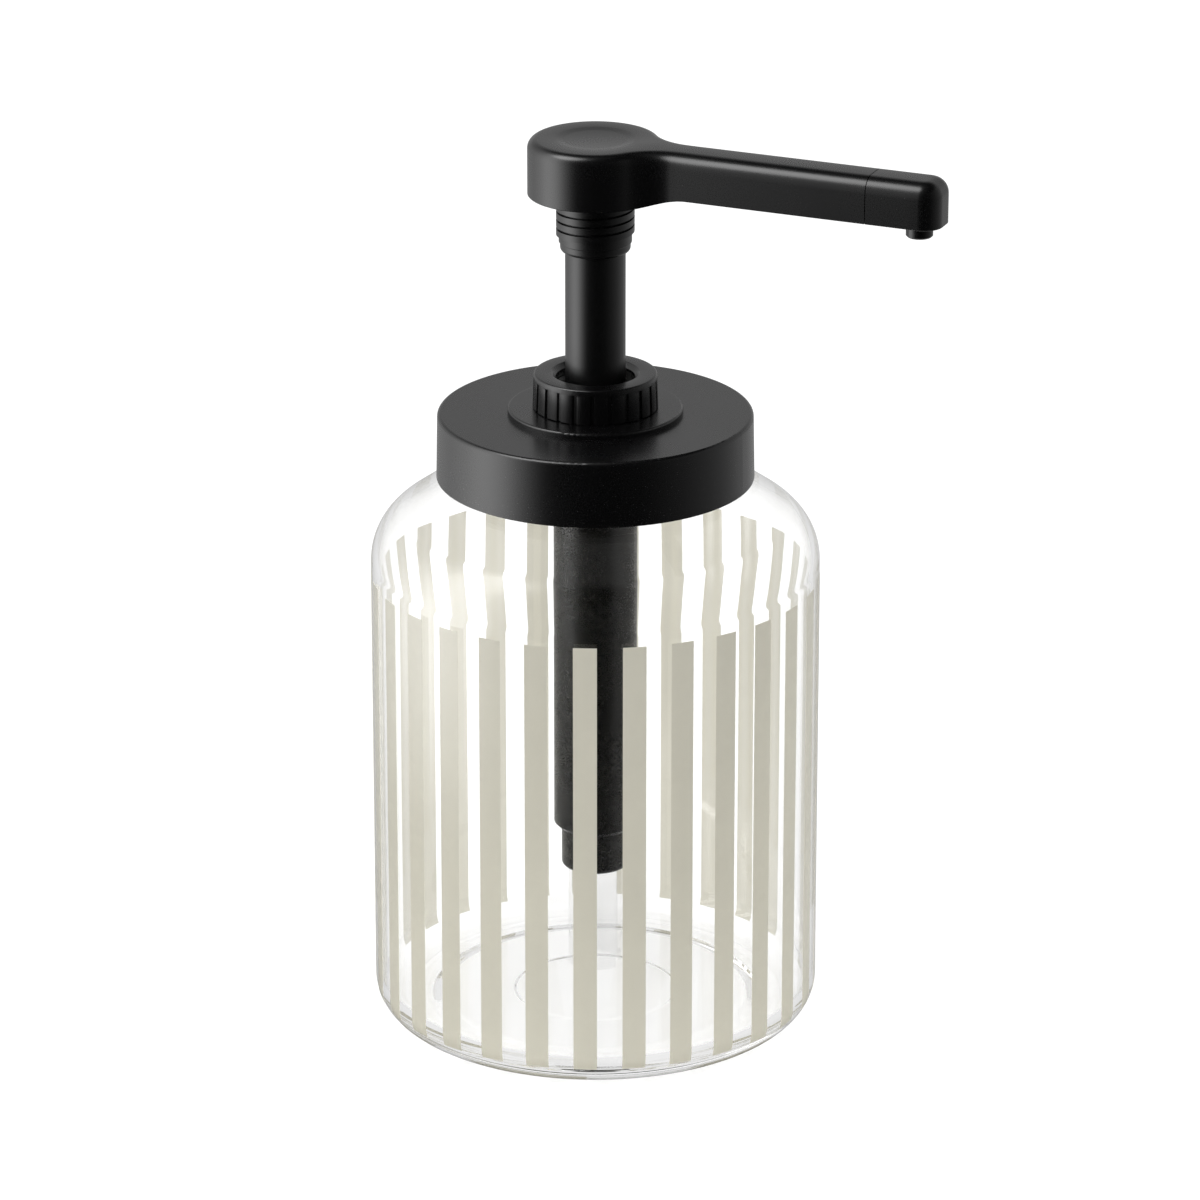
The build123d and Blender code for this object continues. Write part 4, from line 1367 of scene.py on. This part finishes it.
@dataclass
class RibbedCollar:
    """The collar on top of the barrel, with its grooves and the lock thread in its mouth."""

    radius: float = 14.6 * MM
    draft: float = 0.3 * MM
    bottom: float = 150.648 * MM
    height: float = 8.25 * MM
    bottom_round: float = 0.2 * MM
    chamfer: float = 0.5 * MM
    cavity: float = 12.05 * MM
    cavity_top: float = 154.618 * MM
    mouth: float = 10.3 * MM
    mouth_depth: float = 1.0 * MM
    mouth_rounds: tuple[float, ...] = (0.25 * MM, 0.2 * MM, 0.0)
    bore: float = 9.15 * MM
    ribs: int = 22
    phase: float = -4.36
    groove_width: float = 0.85 * MM
    groove_depth: float = 0.5 * MM
    groove_margin: float = 1.3 * MM
    groove_rows: tuple[float, ...] = (0.35 * MM, 0.2 * MM, 0.0)
    lip_width: float = 0.12 * MM
    lip_reach: float = 2.6
    lip_dip: float = 0.12
    thread_depth: float = 0.5 * MM
    thread_sunk: float = 0.05 * MM
    thread_foot: float = 1.1 * MM
    thread_crest: float = 0.5 * MM
    thread_turns: float = 0.95
    thread_pitch: float = 2.0 * MM
    thread_top: float = 157.4 * MM
    thread_start: float = 135.0

    def section(self, stop: float) -> list[Point2]:
        """The collar's section, with extra rows where the grooves end.

        Args:
            stop: The height at which the grooves end.

        Returns:
            (radius, height) points, from the lower edge up the outside and down the inside.
        """
        top = self.bottom + self.height
        outside = rounded(
            [(self.cavity, self.bottom), (self.radius, self.bottom), (self.radius - self.draft, top),
             (self.mouth, top), (self.bore, top - self.mouth_depth), (self.bore, self.cavity_top),
             (self.cavity, self.cavity_top)],
            [self.bottom_round, self.chamfer, *self.mouth_rounds], step=15,
        )
        line: list[Point2] = []
        for a, b in zip(outside, outside[1:]):
            line.append(a)
            if a[1] < stop < b[1]:
                for height in (stop - below for below in self.groove_rows):
                    line.append((a[0] + (b[0] - a[0]) * (height - a[1]) / (b[1] - a[1]), height))
        line.append(outside[-1])
        return line

    def sector(self) -> Piece:
        """One rib's share of the ring, with a groove in its middle.

        Returns:
            The share, open at its sides.
        """
        share = 2 * math.pi / self.ribs
        half = self.groove_width / 2 / self.radius
        lip = self.lip_width / self.radius
        side = {half: 1.0, half + lip: self.lip_dip, half + self.lip_reach * lip: 0.0, share / 2: 0.0}
        columns = [(-a, dip) for a, dip in reversed(side.items())] + list(side.items())
        stop = self.bottom + self.height - self.groove_margin
        draft = Draft()
        rows = []
        for radius, height in self.section(stop):
            depth = self.groove_depth if radius > self.cavity and height < stop - TINY else 0.0
            rows.append(draft.add((*polar(radius - dip * depth, angle), height) for angle, dip in columns))
        draft.bands(rows + rows[:1], closed=False)
        return draft.build("one_rib", Finish.SATIN_BLACK, sharp=30.0)

    def build(self, repeat: RoundRepeat, threads: CoiledThread) -> None:
        """Build the collar and put it on the lid's body.

        Args:
            repeat: The tree that repeats the rib.
            threads: The tree that coils the lock thread.
        """
        ring = repeat.apply(
            self.sector(), "collar_ring", Finish.SATIN_BLACK, self.ribs, self.phase, gap=5e-6, sharp=30.0
        )
        rise = self.thread_turns * self.thread_pitch
        coil = threads.make("collar_thread", Finish.SATIN_BLACK, Screw(
            turns=self.thread_turns, radius=self.bore - self.thread_depth / 2 + self.thread_sunk, rise=rise,
            bottom=self.thread_top - rise, start=self.thread_start, foot=self.thread_foot,
            crest=self.thread_crest, depth=-self.thread_depth,
        ))
        collar = joined("collar_form", [ring, coil], Finish.SATIN_BLACK, sharp=30.0)
        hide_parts("ribbed_collar")
        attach(collar, "lid")
        LOG.info("%s: %d faces", collar.name, len(collar.data.polygons))


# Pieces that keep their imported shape


@dataclass
class KeptPieces:
    """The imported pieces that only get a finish."""

    groups: dict[Finish, tuple[str, ...]] = field(default_factory=lambda: {
        Finish.SATIN_BLACK: ("lid_shell", "pump_barrel", "barrel_nut", "valve_foot", "stem_guide"),
        Finish.SMOOTH_BLACK: ("plunger_stem", "nozzle_tip"),
        Finish.MILKY: ("piston", "piston_clip", "inlet_keeper", "outlet_keeper"),
        Finish.CLEAR_TUBE: ("dip_tube",),
        Finish.SILICONE: (
            "lid_gasket", "barrel_washer", "stem_wiper", "piston_ring", "stem_seal", "drip_valve",
        ),
        Finish.STEEL: ("inlet_ball", "outlet_ball"),
    })

    def dress(self, nodes: dict[str, Piece]) -> None:
        """Give each piece its material.

        Args:
            nodes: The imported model's objects by name.
        """
        for finish, names in self.groups.items():
            for name in names:
                slots = nodes[name].data.materials
                slots.clear()
                slots.append(finish.material())
                LOG.info("%s: %s", name, finish.value.name)


# The spring


@dataclass
class ReturnSpring:
    """The spring inside the barrel, which shortens as the head is pushed down."""

    node: str = "return_spring"
    wire: float = 0.6 * MM
    coil: float = 6.4 * MM
    turns: int = 16
    stroke: float = 32.0 * MM
    steps: int = 24
    sides: int = 10

    def build(self) -> None:
        """Wind the wire between the heights that the frame gives."""
        low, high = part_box(self.node)
        length = high[2] - low[2]
        climb = (length - 2 * self.wire) / (2 * math.pi * self.turns)
        draft = Draft()
        rows: list[list[int]] = []
        for i in range(self.turns * self.steps + 1):
            turn = 2 * math.pi * i / self.steps
            out = Vector((*polar(1.0, turn), 0.0))
            along = Vector((-self.coil * out.y, self.coil * out.x, climb)).normalized()
            across = along.cross(out)
            centre = out * self.coil + Vector((0.0, 0.0, low[2] + self.wire + climb * turn))
            spokes = [out * math.cos(a) + across * math.sin(a) for a in spin_angles(self.sides)]
            rows.append(draft.add(centre + spoke * self.wire for spoke in spokes))
        draft.bands(rows, closed=True)
        draft.faces += [tuple(reversed(rows[0])), tuple(rows[-1])]
        spring = draft.build("spring_coil", Finish.STEEL, sharp=60.0)
        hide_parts(self.node)
        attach(spring, "lid")
        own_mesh(spring)
        LOG.info("%s: %d faces", spring.name, len(spring.data.polygons))


# The studio


@dataclass(frozen=True)
class Lamp:
    """One soft round lamp, placed by its azimuth and elevation as the camera sees them."""

    name: str
    azimuth: float
    elevation: float
    distance: float
    size: float
    power: float
    mirrored: bool


@dataclass
class Studio:
    """The photograph's view, a white sweep, and soft boxes in the reflections.

    The levels say how bright the surroundings look in a mirror, by the azimuth from the camera's side. A fade
    is the pair of heights of the mirrored direction between which something comes up or goes away.
    """

    turn: float = 23.1
    pitch: float = 20.572
    eye: tuple[float, float, float] = (0.5577, -1.3048, 0.6350)
    lens: float = 193.8
    target: tuple[float, float, float] = (0.0, 0.0, 0.1)
    key: Lamp = Lamp("key", azimuth=40, elevation=50, distance=0.85, size=0.5, power=3.9, mirrored=False)
    edge: Lamp = Lamp("edge", azimuth=70, elevation=59, distance=1.2, size=0.8, power=7.0, mirrored=True)
    ambient: float = 1.3
    floor_size: float = 6.0
    floor_glow: float = 0.6
    floor_albedo: float = 0.4
    eye_level: float = 0.15
    overhead: float = 0.08
    low_glow: float = 0.25
    glass_gain: float = 0.11
    clear_level: float = 0.9
    zenith_dim: float = 0.86
    box_strength: float = 3.6
    box_foot: Fade = (-0.7, -0.35)
    box_top: Fade = (0.86, 0.96)
    low_start: Fade = (-0.1, 0.1)
    low_end: Fade = (0.1, 0.36)
    sweep_top: Fade = (0.55, 0.78)
    overhead_start: Fade = (0.93, 0.985)
    front_foot: Fade = (-0.95, -0.8)
    zenith: Fade = (0.95, 0.985)
    box_levels: dict[float, float] = field(default_factory=lambda: {
        -180: 0.0, -150: 0.0, -125: 0.15, -105: 0.45, -90: 0.88, -80: 1.0, -66: 0.85, -56: 0.44,
        -46: 0.18, -36: 0.0,
    })
    sweep_levels: dict[float, float] = field(default_factory=lambda: {
        -180: 0.5, -150: 0.48, -120: 0.35, -70: 0.2, -40: 0.03, 0: 0.005, 35: 0.03, 60: 0.16, 90: 0.36,
        120: 0.55, 150: 0.5, 180: 0.5,
    })
    front_levels: dict[float, float] = field(default_factory=lambda: {
        -180: 0.0, -60: 0.0, -35: 1.0, 35: 1.0, 60: 0.0, 180: 0.0,
    })

    def heading(self, azimuth: float, elevation: float) -> Vector:
        """A unit vector at an azimuth measured from the camera's side, turning left, and an elevation."""
        x, y = polar(math.cos(math.radians(elevation)), math.radians(self.turn - 90 - azimuth))
        return Vector((x, y, math.sin(math.radians(elevation))))

    def camera(self) -> None:
        """Place the camera."""
        data = bpy.data.cameras.new("photo_view")
        data.lens = self.lens
        data.sensor_width = 36.0
        data.clip_start = 0.05
        data.clip_end = 50.0
        view = bpy.data.objects.new("photo_view", data)
        view.location = self.eye
        view.rotation_euler = (math.radians(90 - self.pitch), 0.0, math.radians(self.turn))
        bpy.context.scene.collection.objects.link(view)
        bpy.context.scene.camera = view

    @staticmethod
    def rays(graph: Graph) -> tuple[Val, Val, Val]:
        """Sort the rays by the way that they have come.

        Args:
            graph: The node tree.

        Returns:
            1 for a ray straight from the camera or through glass alone, 1 for a ray off a shiny surface or
            through glass, and 1 for a ray that has been through glass.
        """
        path = graph.node("ShaderNodeLightPath")
        take = {socket.name: Val(graph, socket) for socket in path.outputs}
        straight = take["Diffuse Depth"].below(0.5) * take["Glossy Depth"].below(0.5)
        shiny = take["Is Glossy Ray"].highest(take["Is Transmission Ray"])
        return straight, shiny, take["Transmission Depth"].above(0.5)

    def reflected(self, graph: Graph, direction: Val, in_glass: Val) -> Val:
        """What shiny surfaces see: a soft box on the left, the sweep behind and a dark camera side.

        Args:
            graph: The node tree.
            direction: The unit vector in which the surface looks.
            in_glass: 1 where the ray has been through glass.

        Returns:
            The brightness in that direction.
        """
        height = graph.value("ShaderNodeSeparateXYZ", 2, {}, {0: direction})
        ahead = graph.along(direction, self.heading(0, 0))
        azimuth = graph.along(direction, self.heading(-90, 0)).math("ARCTAN2", ahead)
        share = azimuth / (2 * math.pi) + 0.5

        def ring(levels: dict[float, float]) -> Val:
            """The level at the direction's azimuth."""
            stops = [(angle / 360 + 0.5, (level, level, level)) for angle, level in levels.items()]
            return graph.value("ShaderNodeValToRGB", 0, {"stops": stops}, {0: share})

        box = ring(self.box_levels) * height.ease(*self.box_foot) * (1.0 - height.ease(*self.box_top))
        low = height.ease(*self.low_start) * (1.0 - height.ease(*self.low_end))
        wall = ring(self.sweep_levels) * (1.0 - height.ease(*self.sweep_top))
        over = height.ease(*self.overhead_start) * self.overhead
        front = ring(self.front_levels) * height.ease(*self.front_foot)
        dim = 1.0 - height.ease(*self.zenith) * self.zenith_dim
        clear = in_glass * (1.0 - front) * dim * self.clear_level
        return (box * self.box_strength + wall * (low * self.low_glow + 1.0) + over).highest(clear)

    def world(self) -> None:
        """Build the surroundings."""
        world = bpy.data.worlds.new("studio")
        bpy.context.scene.world = world
        world.use_nodes = True
        world.node_tree.nodes.clear()
        world.cycles.sampling_method = "NONE"
        graph = Graph(world.node_tree)
        straight, shiny, in_glass = self.rays(graph)
        seen = self.reflected(graph, graph.value("ShaderNodeTexCoord", "Generated"), in_glass)
        plain = straight * (in_glass * self.glass_gain + 1.0)
        strength = plain + (1.0 - straight) * (shiny * seen + (1.0 - shiny) * self.ambient)
        light = graph.node("ShaderNodeBackground", {}, {"Color": WHITE, "Strength": strength})
        graph.node("ShaderNodeOutputWorld", {}, {0: light.outputs[0]})

    def floor_shader(self, graph: Graph) -> Node:
        """Build the floor's shader: white to the camera, matt grey for its shadow, in mirrors as the world.

        Args:
            graph: The material's graph.

        Returns:
            The shader node.
        """
        straight, shiny, in_glass = self.rays(graph)
        arm = graph.vector_math("SUBTRACT", graph.place(), (0.0, 0.0, self.eye_level))
        seen = self.reflected(graph, graph.vector_math("NORMALIZE", arm), in_glass)
        mirrored = (1.0 - straight) * shiny
        strength = straight * (in_glass * self.glass_gain + self.floor_glow) + mirrored * seen
        emission = graph.node("ShaderNodeEmission", {}, {"Color": WHITE, "Strength": strength})
        shade = graph.blend(mirrored, opaque((self.floor_albedo,) * 3), opaque((0.0, 0.0, 0.0)))
        matt = graph.node("ShaderNodeBsdfDiffuse", {}, {"Color": shade})
        return graph.node("ShaderNodeAddShader", {}, {0: emission.outputs[0], 1: matt.outputs[0]})

    def floor(self) -> None:
        """Build the white floor, which keeps the object's soft shadow."""
        mesh = bpy.data.meshes.new("floor")
        half = self.floor_size / 2
        corners = [(-half, -half, 0), (half, -half, 0), (half, half, 0), (-half, half, 0)]
        mesh.from_pydata(corners, [], [(0, 1, 2, 3)])
        floor = bpy.data.objects.new("floor", mesh)
        bpy.context.scene.collection.objects.link(floor)
        material = material_of("white_sweep", self.floor_shader)
        material.cycles.emission_sampling = "NONE"
        mesh.materials.append(material)

    def hang(self, lamp: Lamp) -> Piece:
        """Hang one lamp, aimed at the middle of the object.

        Args:
            lamp: The lamp.

        Returns:
            Its object.
        """
        data = bpy.data.lights.new(lamp.name, "AREA")
        data.shape = "DISK"
        data.size = lamp.size
        data.energy = lamp.power
        hung = bpy.data.objects.new(lamp.name, data)
        target = Vector(self.target)
        hung.location = target + self.heading(lamp.azimuth, lamp.elevation) * lamp.distance
        hung.rotation_euler = (target - hung.location).to_track_quat("-Z", "Y").to_euler()
        hung.visible_glossy = lamp.mirrored
        hung.visible_transmission = False
        bpy.context.scene.collection.objects.link(hung)
        return hung

    def build(self, dark: Sequence[Piece]) -> None:
        """Set up the view, the floor and the light.

        Args:
            dark: The black pieces, whose rounded edges alone the edge lamp lights.
        """
        bpy.context.scene.view_settings.view_transform = "Standard"
        self.camera()
        self.world()
        self.floor()
        self.hang(self.key)
        lit = bpy.data.collections.new("lit_by_edge_lamp")
        for piece in dark:
            lit.objects.link(piece)
        self.hang(self.edge).light_linking.receiver_collection = lit


def is_black(piece: Piece) -> bool:
    """Whether a piece has one of the black finishes."""
    black = (Finish.SATIN_BLACK.value.name, Finish.SMOOTH_BLACK.value.name)
    return piece.type == "MESH" and any(slot.name in black for slot in piece.data.materials if slot)


def main() -> None:
    """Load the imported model, dress it and light it."""
    logging.basicConfig(level=logging.INFO, format="%(message)s")
    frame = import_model()
    repeat = RoundRepeat()
    threads = CoiledThread()
    GlassJar().build(repeat)
    PumpHead().build(threads)
    RibbedCollar().build(repeat, threads)
    KeptPieces().dress(frame["nodes"])
    ReturnSpring().build()
    Studio().build([piece for piece in bpy.data.objects if is_black(piece)])


if __name__ == "__main__":
    main()
